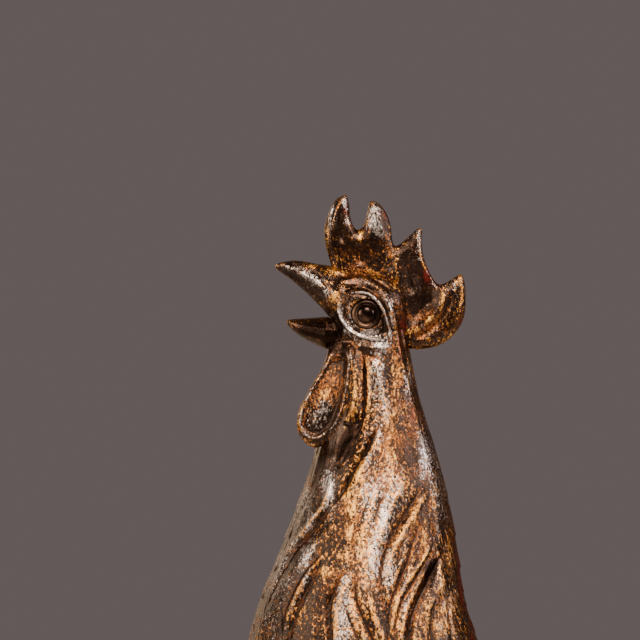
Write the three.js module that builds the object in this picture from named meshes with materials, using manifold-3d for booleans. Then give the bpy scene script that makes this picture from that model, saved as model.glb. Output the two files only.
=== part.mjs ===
import * as THREE from 'three';
import { mergeVertices } from 'three/addons/utils/BufferGeometryUtils.js';
import Module from 'manifold-3d';

// A cast bronze cockerel on an oval base, in millimetres. +Z is up, the bird faces -Y and its left is +X.
// The origin is the middle of the felt's underside. Points of the middle plane are written [y, z].

const wasm = await Module();
wasm.setup();

// Clearances
const seatGap = 0.3; // between two cast faces that meet
const fitGap = 0.2; // around a pin, tenon or bolt in its hole

// Felt and base
const feltThickness = 1.2;
const feltMargin = 5; // the felt stops this far inside the base's edge
const baseWidth = 142;
const baseLength = 206;
const baseThickness = 14.5;
const baseFootHeight = 5; // the upright band under the moulding
const baseStep = 2; // the ledge above that band
const baseTopInset = 9; // the top's edge lies this far inside the foot

// Legs
const legSpread = 29; // from the middle plane to each leg
const footPlace = 2; // y of both feet
const legHeight = 92; // from the base's top to the seat under the thigh
const hockSetback = 18; // the seat lies this far behind the foot
const hockRadius = 8;
const shankRadius = 5.4;
const toeLength = 38;
const toeSpreadDegrees = 38;
const hindToeLength = 24;
const toeRadius = 4.4;
const toeHeights = [5, 5.4, 3.4, 0.8]; // of a toe's middle line, from the foot to the claw's tip
const spurLength = 13;
const spurHeight = 34;
const tangRadius = 5; // round foot of the leg, let into the base
const tangLength = 5;
const boltRadius = 2.5;
const boltHold = 9; // how far a bolt goes into its leg
const boltHeadAcross = 8;
const boltHeadHeight = 3.2;
const washerRadius = 6.5;
const washerThickness = 1;
const boltRecessDepth = 5.5; // counterbore under the base
const tenonRadius = 4.6; // top of the leg, let into the thigh
const tenonLength = 24;
const thighPinRadius = 1.4;
const thighPinHeight = tenonLength / 2; // the pin crosses the middle of the tenon

// Castings
const castWall = 3.6;
const spigotWall = 2.8;
const spigotLength = 12;
const spigotRoot = 5; // how far a spigot's metal runs into its own casting
const seamPinRadius = 1.6;
const seamPinDepth = 6; // below the seam
const headSolidDepth = 42; // the neck's hollow ends this far under the eye

// Body. Its outlines are in percent: y of its length and z of its height above the thighs' seats.
const bodyLength = 240;
const bodyHeight = 140; // from the seats up to the breast's fullest point
const bodyWidth = 116;
const neckSeam = { at: [-32, bodyHeight * 1.2], leanDegrees: 0 };
const tailSeam = { at: bodyPoint([43.75, 95.7]), leanDegrees: 67 };

// Thighs, from the seat upwards
const thighRadii = [11.5, 18, 26, 30];
const thighRise = 92;
const thighLean = 20; // the thigh's top lies this far in front of its seat

// Wings
const wingThickness = 4.5;
const covertThickness = 3;
const wingScrewRadius = 1.5;
const wingScrewHeadRadius = 3;
const wingScrewHeadDepth = 1.8;
const wingScrewSlot = 0.7;
const wingScrewPlaces = { front: bodyPoint([-17.5, 84.5]), rear: bodyPoint([14, 83]) };

// Head, measured from the middle of the eye
const eyeHeight = 342.5; // above the thighs' seats
const eyePlace = [neckSeam.at[0], eyeHeight];
const throatDrop = 68; // from the eye down to where the neck starts to swell
const eyeRadius = 7.4;
const eyeDome = 2.4; // how far the eye stands out of its seat
const eyeSide = 14.2; // from the middle plane to the eye's seat
const eyePegRadius = 1.8;
const eyePegLength = 5;
const combTongueThickness = 4;
const headPinRadius = 1.1;
const combPinPlaces = { front: [-8, 17.5], rear: [7, 15.5] };
const combPinReach = 6; // a blind pin ends this far past the middle plane
const jawPinPlace = [-12.5, -8];
const jawPinReach = 4;
const wattlePegRadius = 1.6;
const wattlePegLength = 4;
const wattlePegPlace = [-12.5, -21.5];

// Tail
const featherHalfThickness = 1.5;
const featherSpread = 0.006; // how much of its side place a feather gains with each millimetre from the root
const featherLayerPitch = 4.8; // between feathers, side by side at the root
const tailLength = 150; // from the tail's root back to the tips of the main sickles
const tailRise = 274; // how high above its root a main sickle's curve is drawn

// Round shapes
const bodySides = 28;
const headSides = 16;
const smallSides = 12;
const eyeSides = 20;
const far = 700; // a cutting block reaches past everything
const past = 14; // a hole's tool runs this far out of the surface

const bronze = { dark: 0x4a3524, brown: 0x6b4a2c, gilt: 0x9a6b35, grey: 0x5e5750 };
const steel = { color: 0x848482, roughness: 0.35 };
const felt = { color: 0x2c3a30, roughness: 0.95, metalness: 0 };

// A station is a closed loop across the bird. It runs from a front point to a back point of the middle plane,
// and reaches half its width to each side of a plane at the given side place.
function station(front, back, half, side = 0) {
  return { front, back, half, side };
}

// Stations made dense by smooth curves through the front points, the back points and the widths.
function smooth(stations, steps) {
  const fronts = stations.map((s) => new THREE.Vector3(s.half, ...s.front));
  const backs = stations.map((s) => new THREE.Vector3(s.side, ...s.back));
  const frontCurve = new THREE.CatmullRomCurve3(fronts, false, 'centripetal');
  const backCurve = new THREE.CatmullRomCurve3(backs, false, 'centripetal');
  return Array.from({ length: steps + 1 }, (_, i) => {
    const f = frontCurve.getPoint(i / steps);
    const b = backCurve.getPoint(i / steps);
    return station([f.y, f.z], [b.y, b.z], f.x, b.x);
  });
}

function powerOf(value, power) {
  return Math.sign(value) * Math.abs(value) ** power;
}

// The loop of points of one station, made larger all round by grow. A power under 1 makes it squarer, and
// over 1 leaner towards its ends.
function loopOf(s, grow, sides, power) {
  const [dy, dz] = [s.back[0] - s.front[0], s.back[1] - s.front[1]];
  const reach = Math.hypot(dy, dz) / 2;
  const stretch = (reach + grow) / reach / 2;
  return Array.from({ length: sides }, (_, i) => {
    const angle = (2 * Math.PI * i) / sides;
    const along = powerOf(Math.cos(angle), power) * stretch;
    const across = powerOf(Math.sin(angle), power) * (s.half + grow);
    const y = (s.front[0] + s.back[0]) / 2 - along * dy;
    const z = (s.front[1] + s.back[1]) / 2 - along * dz;
    return new THREE.Vector3(s.side + across, y, z);
  });
}

function middleOf(points) {
  const sum = points.reduce((total, p) => total.add(p), new THREE.Vector3());
  return sum.divideScalar(points.length);
}

// Turns a mesh the right way out: its triangles' signed volume must be positive.
function facingOut(geometry) {
  const p = geometry.attributes.position;
  const index = geometry.index.array;
  const [a, b, c] = [new THREE.Vector3(), new THREE.Vector3(), new THREE.Vector3()];
  let volume = 0;
  for (let i = 0; i < index.length; i += 3) {
    a.fromBufferAttribute(p, index[i]);
    b.fromBufferAttribute(p, index[i + 1]);
    c.fromBufferAttribute(p, index[i + 2]);
    volume += a.dot(b.cross(c));
  }
  if (volume < 0) {
    for (let i = 0; i < index.length; i += 3) {
      [index[i], index[i + 1]] = [index[i + 1], index[i]];
    }
  }
  return geometry;
}

// A closed skin over loops of points, with a fan over each end. The two flanks' triangles mirror each other.
function skin(loops) {
  const sides = loops[0].length;
  const points = [...loops.flat(), middleOf(loops[0]), middleOf(loops.at(-1))];
  const [firstMiddle, lastMiddle] = [points.length - 2, points.length - 1];
  const lastStart = (loops.length - 1) * sides;
  const index = [];
  for (let i = 0; i < sides; i++) {
    const next = (i + 1) % sides;
    const leftFlank = i < sides / 2;
    for (let k = 0; k < lastStart; k += sides) {
      const [a, b, c, d] = [k + i, k + next, k + sides + next, k + sides + i];
      index.push(...(leftFlank ? [a, b, d, b, c, d] : [a, b, c, a, c, d]));
    }
    index.push(firstMiddle, next, i);
    index.push(lastMiddle, lastStart + i, lastStart + next);
  }
  const geometry = new THREE.BufferGeometry().setFromPoints(points);
  geometry.setIndex(index);
  return facingOut(geometry);
}

// A closed form through stations. Its ends move out with grow too, so a grown copy cuts a fitting socket.
function form(stations, { steps, sides = headSides, power = 1, grow = 0 }) {
  const loops = smooth(stations, steps).map((s) => loopOf(s, grow, sides, power));
  const ends = [[0, 1], [loops.length - 1, loops.length - 2]];
  for (const [end, beside] of ends) {
    const outward = middleOf(loops[end]).sub(middleOf(loops[beside])).setLength(Math.abs(grow));
    loops[end].forEach((p) => p.addScaledVector(outward, Math.sign(grow)));
  }
  return skin(loops);
}

// The value at a share t of the way through a list, eased by a smooth curve.
function ramp(values, t) {
  const curve = new THREE.SplineCurve(values.map((v, i) => new THREE.Vector2(i, v)));
  return curve.getPoint(t).y;
}

// A round limb along a smooth path, with radii spaced evenly from end to end.
function limb(points, radii, { steps = 10, sides = 10 } = {}) {
  const path = new THREE.CatmullRomCurve3(points.map((p) => new THREE.Vector3(...p)));
  const frames = path.computeFrenetFrames(steps);
  const loops = frames.normals.map((normal, i) => {
    const middle = path.getPointAt(i / steps);
    const radius = ramp(radii, i / steps);
    return Array.from({ length: sides }, (_, k) => {
      const angle = (2 * Math.PI * k) / sides;
      return middle.clone()
        .addScaledVector(normal, radius * Math.cos(angle))
        .addScaledVector(frames.binormals[i], radius * Math.sin(angle));
    });
  });
  return skin(loops);
}

// Solids for cutting and joining
function solid(geometry) {
  const bare = geometry.clone();
  bare.deleteAttribute('normal');
  bare.deleteAttribute('uv');
  const merged = mergeVertices(bare);
  return new wasm.Manifold(new wasm.Mesh({
    numProp: 3,
    vertProperties: Float32Array.from(merged.attributes.position.array),
    triVerts: Uint32Array.from(merged.index.array),
  }));
}

function geometryOf(made) {
  const mesh = made.getMesh();
  const geometry = new THREE.BufferGeometry();
  geometry.setAttribute('position', new THREE.BufferAttribute(mesh.vertProperties, 3));
  geometry.setIndex(new THREE.BufferAttribute(mesh.triVerts, 1));
  return geometry;
}

// Solid pieces joined into one
function joined(...solids) {
  return solids.reduce((whole, next) => whole.add(next));
}

function cutBy(whole, ...tools) {
  return tools.reduce((rest, tool) => rest.subtract(tool), whole);
}

function block([x0, x1], [y0, y1], [z0, z1]) {
  const geometry = new THREE.BoxGeometry(x1 - x0, y1 - y0, z1 - z0);
  return solid(geometry.translate((x0 + x1) / 2, (y0 + y1) / 2, (z0 + z1) / 2));
}

// A round bar along X or Z, between two places on that axis
function barX(radius, x0, x1, [y, z], sides = smallSides) {
  const geometry = new THREE.CylinderGeometry(radius, radius, x1 - x0, sides).rotateZ(Math.PI / 2);
  return geometry.translate((x0 + x1) / 2, y, z);
}

function barZ(radius, z0, z1, [x, y], sides = smallSides) {
  const geometry = new THREE.CylinderGeometry(radius, radius, z1 - z0, sides).rotateX(Math.PI / 2);
  return geometry.translate(x, y, (z0 + z1) / 2);
}

// A thick slice of space along a seam's normal, from one distance to another
function slab(seam, from, to) {
  const geometry = new THREE.BoxGeometry(far, far, to - from).translate(0, 0, (from + to) / 2);
  geometry.rotateX(-THREE.MathUtils.degToRad(seam.leanDegrees));
  return solid(geometry.translate(0, ...seam.at));
}

// The radius of a round hole whose flats, not its corners, clear the bar that it holds
function bore(radius, sides = smallSides) {
  return (radius + fitGap) / Math.cos(Math.PI / sides);
}

// A flat outline of the middle plane, pulled sideways from x0 to x1
function sidePlate(shape, x0, x1) {
  const settings = { depth: x1 - x0, bevelEnabled: false, curveSegments: 6 };
  const geometry = new THREE.ExtrudeGeometry(shape, settings);
  const [sideways, backwards, up] = [
    new THREE.Vector3(1, 0, 0), new THREE.Vector3(0, 1, 0), new THREE.Vector3(0, 0, 1),
  ];
  geometry.applyMatrix4(new THREE.Matrix4().makeBasis(backwards, up, sideways));
  return solid(geometry.translate(x0, 0, 0));
}

// The other side's copy of a piece
function mirrored(geometry) {
  const copy = geometry.clone().scale(-1, 1, 1);
  return facingOut(copy.index ? copy : mergeVertices(copy));
}

// How far out, towards +X, a form's surface lies at a point of the middle plane
function sideReach(geometry, [y, z]) {
  const look = new THREE.Raycaster(new THREE.Vector3(far, y, z), new THREE.Vector3(-1, 0, 0));
  return look.intersectObject(new THREE.Mesh(geometry))[0].point.x;
}

function piece(name, geometry, color, { roughness = 0.42, metalness = 0.9 } = {}) {
  const material = new THREE.MeshStandardMaterial({ color, roughness, metalness });
  const mesh = new THREE.Mesh(geometry, material);
  mesh.name = name;
  return mesh;
}

const flanks = [{ name: 'left', sign: 1 }, { name: 'right', sign: -1 }];

// Puts a piece made for the left flank on either flank.
function onFlank(flank, geometry) {
  return flank.sign > 0 ? geometry : mirrored(geometry);
}

// The bird's trunk runs from the tail, round the belly and up the neck into the head, as one form.
const trunkStations = [
  bodyStation([57, 114], [47, 129], 24),
  bodyStation([55, 104.5], [44.5, 121.5], 34.5),
  bodyStation([50.5, 90], [41.5, 113], 45),
  bodyStation([44, 74], [39.5, 105.5], 55),
  bodyStation([33.5, 55], [37, 100], 71),
  bodyStation([16.5, 36.5], [34, 95], 84.5),
  bodyStation([-3.5, 28.5], [31, 92], 95),
  bodyStation([-23, 35.5], [27, 91.5], 100),
  bodyStation([-36, 54.5], [23.5, 93.5], 100),
  bodyStation([-41.5, 78.5], [19, 98.5], 96.5),
  bodyStation([-42, 100], [14, 108], 93),
  neckStation(-61, 60, neckDrop(1), 51),
  neckStation(-54, 50, neckDrop(0.72), 45),
  neckStation(-43.5, 46, neckDrop(0.48), 39),
  neckStation(-33.5, 41.5, neckDrop(0.235), 32),
  neckStation(-25.5, 35, throatDrop, 25),
  neckStation(-20.5, 27, 43, 19.5),
  neckStation(-16, 22, 18.5, 15.5),
  neckStation(-12, 19, 3, 13),
];

// A point of the body from its percents of the body's length and height
function bodyPoint([y, z]) {
  return [(y * bodyLength) / 100, (z * bodyHeight) / 100];
}

// A station of the body, its half width in percent of the body's own half width
function bodyStation(front, back, half) {
  return station(bodyPoint(front), bodyPoint(back), (half / 100) * (bodyWidth / 2));
}

// A level station of the neck: its front and back from the eye, and how far it lies below the eye
function neckStation(front, back, drop, half) {
  const z = eyeHeight - drop;
  return station([eyePlace[0] + front, z], [eyePlace[0] + back, z], half);
}

// How far below the eye a share of the way from the throat down to the neck's seam lies
function neckDrop(share) {
  return throatDrop + share * (eyeHeight - throatDrop - neckSeam.at[1]);
}

function trunk(grow, { steps = 38, sides = bodySides } = {}) {
  return form(trunkStations, { steps, sides, power: 0.92, grow });
}

function hollowTrunk(inset) {
  return solid(trunk(-inset, { steps: 22, sides: 14 }));
}

const trunkOuter = trunk(0);
const spigotInset = castWall + fitGap;

function spigot(seam) {
  return hollowTrunk(spigotInset).intersect(slab(seam, -spigotLength, spigotRoot));
}

// The tail rises past the height of the neck's seam, so the neck's pieces leave it out.
function withoutTail(whole) {
  return whole.subtract(slab(tailSeam, -spigotLength, far));
}

// The thigh of one side, from its seat up into the body
const thighPlace = footPlace + hockSetback;

function thigh(flank) {
  const x = legSpread * flank.sign;
  const points = [
    [x, thighPlace, 0],
    [x, thighPlace, thighRise * 0.2],
    [x * 0.98, thighPlace - thighLean * 0.35, thighRise * 0.55],
    [x * 0.7, thighPlace - thighLean, thighRise],
  ];
  return solid(limb(points, thighRadii, { steps: 8, sides: 16 }));
}

// The pins of a seam stand a little below it, measured along its normal.
function seamPinPlace(seam, y, z) {
  const lean = THREE.MathUtils.degToRad(seam.leanDegrees);
  return [y - seamPinDepth * Math.sin(lean), z - seamPinDepth * Math.cos(lean)];
}

const neckPinPlace = seamPinPlace(neckSeam, ...neckSeam.at);
const tailPinPlace = seamPinPlace(tailSeam, ...tailSeam.at);
const seamPinLength = castWall + fitGap + spigotWall;
const neckPinSide = sideReach(trunkOuter, neckPinPlace);
const tailPinSide = sideReach(trunkOuter, tailPinPlace);

function sidePinHoles(radius, place) {
  return solid(barX(bore(radius), -far / 2, far / 2, place));
}

// The neck's back pin lies along Y in the middle plane. The neck's back is met from inside the seam outwards.
const neckPinHeight = neckPinPlace[1];
const neckBack = backReach(neckSeam.at[0], neckPinHeight);

function backReach(y, z) {
  const look = new THREE.Raycaster(new THREE.Vector3(0, y, z), new THREE.Vector3(0, 1, 0));
  const inside = new THREE.MeshBasicMaterial({ side: THREE.BackSide });
  return look.intersectObject(new THREE.Mesh(trunkOuter, inside))[0].point.y;
}

function barY(radius, y0, y1, z) {
  const geometry = new THREE.CylinderGeometry(radius, radius, y1 - y0, smallSides);
  return geometry.translate(0, (y0 + y1) / 2, z);
}

// A closed outline on the body, of smooth runs that meet at corners. Each run starts where the last one ends.
function outline(runs) {
  const points = runs.flatMap((run, i) => {
    const through = [runs.at(i - 1).at(-1), ...run].map((p) => new THREE.Vector2(...bodyPoint(p)));
    return new THREE.SplineCurve(through).getPoints(2 * run.length).slice(1);
  });
  return new THREE.Shape(points);
}

// Wing outlines, seen from the bird's left: shoulder, upper edge, then the steps of the feather tips
const wingShape = outline([
  [[-31, 84.5], [-28.5, 95.5], [-22.5, 100.5]],
  [[-8.5, 98.5], [8.5, 93.5], [25, 87], [43, 80]],
  [[38.5, 73], [32.5, 70]],
  [[29, 65], [23.5, 63]],
  [[19, 58], [13.5, 56.5]],
  [[9, 53], [2.5, 52]],
  [[-6, 50], [-16.5, 53], [-25, 60.5], [-29.5, 73]],
]);

const covertShape = outline([
  [[-31, 84.5], [-28.5, 95.5], [-22.5, 100.5]],
  [[-11.5, 99.5], [-2.5, 97], [6, 92]],
  [[4, 83], [0, 74.5]],
  [[-6.5, 66.5], [-15, 61.5], [-23.5, 64.5], [-29.5, 73]],
]);

function wingSolid() {
  const outside = far / 2;
  const vanes = sidePlate(wingShape, 0, outside).intersect(solid(trunk(seatGap + wingThickness)));
  const covertGrow = seatGap + wingThickness + covertThickness;
  const coverts = sidePlate(covertShape, 0, outside).intersect(solid(trunk(covertGrow)));
  return cutBy(joined(vanes, coverts), solid(trunk(seatGap)));
}

const wingBlank = wingSolid();
const wingBlankGeometry = geometryOf(wingBlank);

function wingScrewHole(place) {
  const reach = sideReach(wingBlankGeometry, place);
  const shank = solid(barX(bore(wingScrewRadius), 0, reach + 1, place));
  const headFloor = reach - wingScrewHeadDepth - fitGap;
  return shank.add(solid(barX(bore(wingScrewHeadRadius), headFloor, reach + past, place)));
}

function wing() {
  return geometryOf(cutBy(wingBlank, ...Object.values(wingScrewPlaces).map(wingScrewHole)));
}

function wingScrew(place) {
  const reach = sideReach(wingBlankGeometry, place) - fitGap;
  const inner = sideReach(trunkOuter, place) - castWall;
  const shank = solid(barX(wingScrewRadius, inner, reach - wingScrewHeadDepth / 2, place));
  const head = solid(barX(wingScrewHeadRadius, reach - wingScrewHeadDepth + fitGap, reach, place));
  const half = wingScrewSlot / 2;
  const slotFloor = reach - wingScrewSlot;
  const slotSpan = [place[1] - 2 * wingScrewHeadRadius, place[1] + 2 * wingScrewHeadRadius];
  const slot = block([slotFloor, reach + 1], [place[0] - half, place[0] + half], slotSpan);
  return geometryOf(cutBy(joined(shank, head), slot));
}

// The hollow body with both thighs
function body() {
  const thighs = flanks.map(thigh);
  const shell = solid(trunkOuter)
    .subtract(slab(neckSeam, 0, far))
    .subtract(slab(tailSeam, 0, far / 2));
  const sockets = flanks.map(({ sign }) => {
    const place = [legSpread * sign, thighPlace];
    return solid(barZ(bore(tenonRadius), -1, tenonLength + seatGap, place));
  });
  const screwHoles = Object.values(wingScrewPlaces).map((p) => sidePinHoles(wingScrewRadius, p));
  return geometryOf(cutBy(
    joined(shell, ...thighs),
    hollowTrunk(castWall).subtract(block([-far, far], [-far, far], [-far, thighHollowFloor()])),
    ...sockets,
    sidePinHoles(thighPinRadius, [thighPlace, thighPinHeight]),
    sidePinHoles(seamPinRadius, neckPinPlace),
    sidePinHoles(seamPinRadius, tailPinPlace),
    solid(barY(bore(seamPinRadius), neckBack - spigotInset - 2, neckBack + 2, neckPinHeight)),
    ...screwHoles,
  ));
}

// The hollow stays clear of the tenon sockets.
function thighHollowFloor() {
  return tenonLength + castWall;
}

// Head forms, from the middle of the eye
const skullStations = [
  station([18.5, -13], [21.2, 1], 5),
  station([13, -15], [18, 14], 12.5),
  station([6, -19], [10.5, 19.5], 16),
  station([-4, -20], [-0.5, 22], 17),
  station([-12, -17], [-10, 23.2], 15.2),
  station([-18.2, -1.6], [-17.5, 24.2], 11.5),
  station([-23.4, 4], [-24, 25], 8.6),
  station([-29.4, 10], [-29, 26], 6.4),
  station([-37, 16.7], [-36, 26.8], 4.2),
  station([-43.8, 21.6], [-43, 25.6], 1.7),
  station([-45.5, 23.6], [-45.3, 24.6], 0.6),
];

const jawStations = [
  station([-9, -15], [-11, -4.5], 6.5),
  station([-19, -17.4], [-19, -1.8], 9.6),
  station([-24, -15.3], [-24, -2.1], 7.8),
  station([-29, -12.9], [-29, -2.5], 5.8),
  station([-34, -9.8], [-34, -2.8], 3.6),
  station([-38, -6.2], [-37.8, -3.1], 1.5),
  station([-39.2, -4.4], [-39.1, -3.6], 0.5),
];

// The comb's four spikes: from the root to the tip, front edge and back edge
const combSpikes = [
  [
    station([-17.2, 20], [-3, 20], 4.4),
    station([-19.2, 31], [-2.5, 31], 4.4),
    station([-20.6, 38], [-2.6, 40.6], 4.2),
    station([-20.8, 44], [-7.6, 45], 3.7),
    station([-19.2, 51], [-8, 51.5], 3),
    station([-16, 56.5], [-9, 56.8], 1.9),
    station([-12, 59], [-10.2, 59.1], 0.6),
  ],
  [
    station([-7, 20], [14, 18], 4.6),
    station([-6, 32], [14.2, 29], 4.5),
    station([-4.6, 40.8], [12.9, 38], 4.1),
    station([-0.2, 46], [12.3, 45], 3.5),
    station([0.8, 51], [10.2, 51], 2.6),
    station([1.6, 55.6], [6.8, 55.2], 1.5),
    station([2.8, 57.6], [4.4, 57.4], 0.5),
  ],
  [
    station([6, 20], [27, 6], 4.4),
    station([11.5, 29], [30.5, 22], 4.2),
    station([16.5, 34.3], [28.2, 30], 3.6),
    station([21.2, 38.6], [27.6, 36.4], 2.4),
    station([24.2, 41.4], [28, 40.4], 1.3),
    station([26.2, 42.7], [27, 42.5], 0.4),
  ],
  [
    station([19, 19], [19, -17.6], 4.3),
    station([30, 19], [28, -18], 4.4),
    station([36.6, 13.8], [37, -15.8], 4.3),
    station([39.6, 14.8], [44.4, -10.6], 3.8),
    station([42.2, 16.4], [48.2, -4], 3),
    station([44.4, 18], [49.6, 5], 2.1),
    station([46, 19.5], [49, 14], 1.2),
    station([46.9, 20.3], [47.6, 19.8], 0.4),
  ],
];

const combTongue = [[-14, 15.5], [12, 12.5], [13, 24], [-14, 30]];

const wattleStations = [
  station([-17.5, -17.5], [-8.8, -17], 2.3, 8),
  station([-20.5, -25.5], [-9.3, -25], 2.8, 9.2),
  station([-25.2, -34], [-9.8, -34], 3.2, 10.8),
  station([-30.2, -43], [-10.8, -42], 3.5, 12),
  station([-34.2, -51.5], [-12.4, -50.5], 3.6, 12.4),
  station([-34.6, -58.5], [-17, -56.5], 3.4, 12.2),
  station([-32, -63.6], [-21.5, -61.8], 2.6, 11.8),
  station([-28.5, -66.4], [-25, -65.8], 1, 11.4),
];

// Everything of the head is made about the eye, so the trunk is brought there too.
function trunkAtEye(grow) {
  return trunk(grow).translate(0, -eyePlace[0], -eyePlace[1]);
}

function skull(grow) {
  return form(skullStations, { steps: 20, sides: 20, power: 0.94, grow });
}

function jaw(grow) {
  return form(jawStations, { steps: 10, sides: 14, power: 0.95, grow });
}

function wattleForm() {
  return form(wattleStations, { steps: 12, sides: 12, power: 0.9 });
}

function combForm() {
  const spikes = combSpikes.map((spike) => solid(form(spike, { steps: 10, sides: 10, power: 1.1 })));
  return joined(...spikes);
}

function tongue(grow) {
  const inset = combTongueThickness / 2 + grow;
  const middle = middleOf(combTongue.map(([y, z]) => new THREE.Vector3(y, z, 0)));
  const shape = new THREE.Shape(combTongue.map(([y, z]) => {
    const out = new THREE.Vector2(Math.sign(y - middle.x), Math.sign(z - middle.y));
    return new THREE.Vector2(y, z).addScaledVector(out, grow);
  }));
  return sidePlate(shape, -inset, inset);
}

const skullOuter = skull(0);

// A blind pin comes in from the bird's right flank, -X, and ends inside.
function blindPinSpan(surface, place, reach) {
  return [-sideReach(surface, place), reach];
}

const combPins = Object.entries(combPinPlaces).map(([name, place]) => (
  { name: `comb_pin_${name}`, place, span: blindPinSpan(skullOuter, place, combPinReach) }
));
const jawPinSpan = blindPinSpan(skullOuter, jawPinPlace, jawPinReach);
const jawPin = { name: 'jaw_pin', place: jawPinPlace, span: jawPinSpan };
const headPins = [...combPins, jawPin];

function headPinHole({ place, span: [start, end] }) {
  return solid(barX(bore(headPinRadius), start - past, end + fitGap, place));
}

const eyePegDepth = eyePegLength + seatGap;

function eyeSocket({ sign }) {
  const [peg, seat] = [eyeSide - eyePegDepth, eyeSide];
  const pegHole = solid(barX(bore(eyePegRadius), peg, seat + 1, [0, 0]));
  const well = solid(barX(bore(eyeRadius, eyeSides), seat, seat + past, [0, 0], eyeSides));
  return solid(onFlank({ sign }, geometryOf(joined(pegHole, well))));
}

function wattlePegSocket({ sign }) {
  const end = wattleStations[0].side - wattlePegLength;
  const mouth = wattleStations[0].side + past;
  const socket = barX(bore(wattlePegRadius), end - seatGap, mouth, wattlePegPlace);
  return solid(onFlank({ sign }, mergeVertices(socket)));
}

// Head and neck are one hollow casting, open at the neck's foot.
function headAndNeck() {
  const neck = solid(trunkOuter).intersect(slab(neckSeam, seatGap, far));
  const hollow = hollowTrunk(spigotInset + spigotWall)
    .intersect(block([-far, far], [-far, far], [0, eyePlace[1] - headSolidDepth]));
  const shell = cutBy(withoutTail(joined(neck, spigot(neckSeam))), hollow,
    sidePinHoles(seamPinRadius, neckPinPlace),
    solid(barY(bore(seamPinRadius), neckBack - 2 * past, neckBack + 2, neckPinHeight)));
  const atEye = solid(geometryOf(shell).translate(0, -eyePlace[0], -eyePlace[1]));
  return geometryOf(cutBy(
    joined(atEye, solid(skullOuter)),
    solid(jaw(seatGap)),
    tongue(fitGap),
    ...headPins.map(headPinHole),
    ...flanks.map(eyeSocket),
    ...flanks.map(wattlePegSocket),
  ));
}

function lowerBeak() {
  return geometryOf(cutBy(solid(jaw(0)), headPinHole(jawPin)));
}

function comb() {
  const above = cutBy(combForm(), solid(skull(seatGap)), solid(trunkAtEye(seatGap)));
  return geometryOf(cutBy(joined(above, tongue(0)), ...combPins.map(headPinHole)));
}

function wattle() {
  const clear = [solid(trunkAtEye(seatGap)), solid(skull(seatGap)), solid(jaw(2 * seatGap))];
  const end = wattleStations[0].side;
  const peg = solid(barX(wattlePegRadius, end - wattlePegLength, end + 1, wattlePegPlace));
  return geometryOf(joined(cutBy(solid(wattleForm()), ...clear), peg));
}

// A domed eye with a peg behind it, turned about its own axis and then laid along X
function eye() {
  const rim = 0.6;
  const dome = new THREE.Path();
  dome.moveTo(0, -eyePegLength);
  dome.lineTo(eyePegRadius, -eyePegLength);
  dome.lineTo(eyePegRadius, 0);
  dome.lineTo(eyeRadius, 0);
  dome.lineTo(eyeRadius, rim);
  dome.quadraticCurveTo(eyeRadius * 0.7, eyeDome, 0, eyeDome + rim);
  return new THREE.LatheGeometry(dome.getPoints(4), eyeSides).rotateZ(-Math.PI / 2);
}

// Tail feathers, from the middle plane outwards: layer counts their side places. A feather's curve starts at
// its root, bends towards two points and ends at its tip. These three are given from the root, in shares of
// the tail's length and rise.
const tailRootPlace = bodyPoint([46.5, 101]);
const featherKinds = [
  tailFeather('top_feather', 11, [0, 13], [0.04, 0.39], [0.16, 0.59], [0.61, 0.61]),
  tailFeather('main_sickle', 13, [1, 9], [0.06, 0.61], [0.94, 1], [0.99, 0]),
  tailFeather('second_sickle', 12, [0, 6], [0.16, 0.5], [0.83, 0.74], [0.84, -0.08]),
  tailFeather('third_sickle', 11.5, [-1, 3], [0.25, 0.38], [0.71, 0.53], [0.69, -0.13]),
  tailFeather('long_covert', 10.5, [-3, 0], [0.26, 0.26], [0.59, 0.32], [0.54, -0.15]),
  tailFeather('short_covert', 9, [-5, -3], [0.22, 0.12], [0.43, 0.14], [0.38, -0.15]),
].map((kind, layer) => ({ ...kind, layer }));

function tailFeather(name, half, rootOffset, ...curve) {
  const root = new THREE.Vector2(...tailRootPlace).add(new THREE.Vector2(...rootOffset));
  const rest = curve.map(([back, up]) => new THREE.Vector2(back * tailLength, up * tailRise).add(root));
  return { name, half, root, curve: new THREE.CubicBezierCurve(root, ...rest) };
}

// How wide a feather is from its root to its tip, and how thin its last part gets
const featherWidths = [0.45, 0.8, 1, 0.95, 0.75, 0.06];
const featherThinning = { from: 0.8, to: 0.35 };

function featherThickness(t) {
  const { from, to } = featherThinning;
  const share = Math.max(0, (t - from) / (1 - from));
  return featherHalfThickness * ramp([1, to], share);
}

// A flat blade along its curve, lens shaped across, that swings outwards with its distance from the root
function feather(kind, grow) {
  const steps = 14;
  const side = kind.layer * featherLayerPitch;
  const loops = Array.from({ length: steps + 1 }, (_, i) => {
    const t = i / steps;
    const middle = kind.curve.getPointAt(t);
    const along = kind.curve.getTangentAt(t);
    const half = kind.half * ramp(featherWidths, t);
    const away = side * (1 + featherSpread * middle.distanceTo(kind.root));
    const front = [middle.x - along.y * half, middle.y + along.x * half];
    const back = [middle.x + along.y * half, middle.y - along.x * half];
    return loopOf(station(front, back, featherThickness(t), away), grow, 8, 1);
  });
  return skin(loops);
}

const feathers = featherKinds.flatMap((kind) => (
  kind.layer === 0
    ? [{ kind, name: kind.name, flank: flanks[0] }]
    : flanks.map((flank) => ({ kind, name: `${flank.name}_${kind.name}`, flank }))
));

function tailRoot() {
  const block = joined(solid(trunkOuter).intersect(slab(tailSeam, seatGap, far / 4)), spigot(tailSeam));
  const slots = feathers.map(({ kind, flank }) => solid(onFlank(flank, feather(kind, fitGap))));
  return geometryOf(cutBy(block, sidePinHoles(seamPinRadius, tailPinPlace), ...slots));
}

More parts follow.
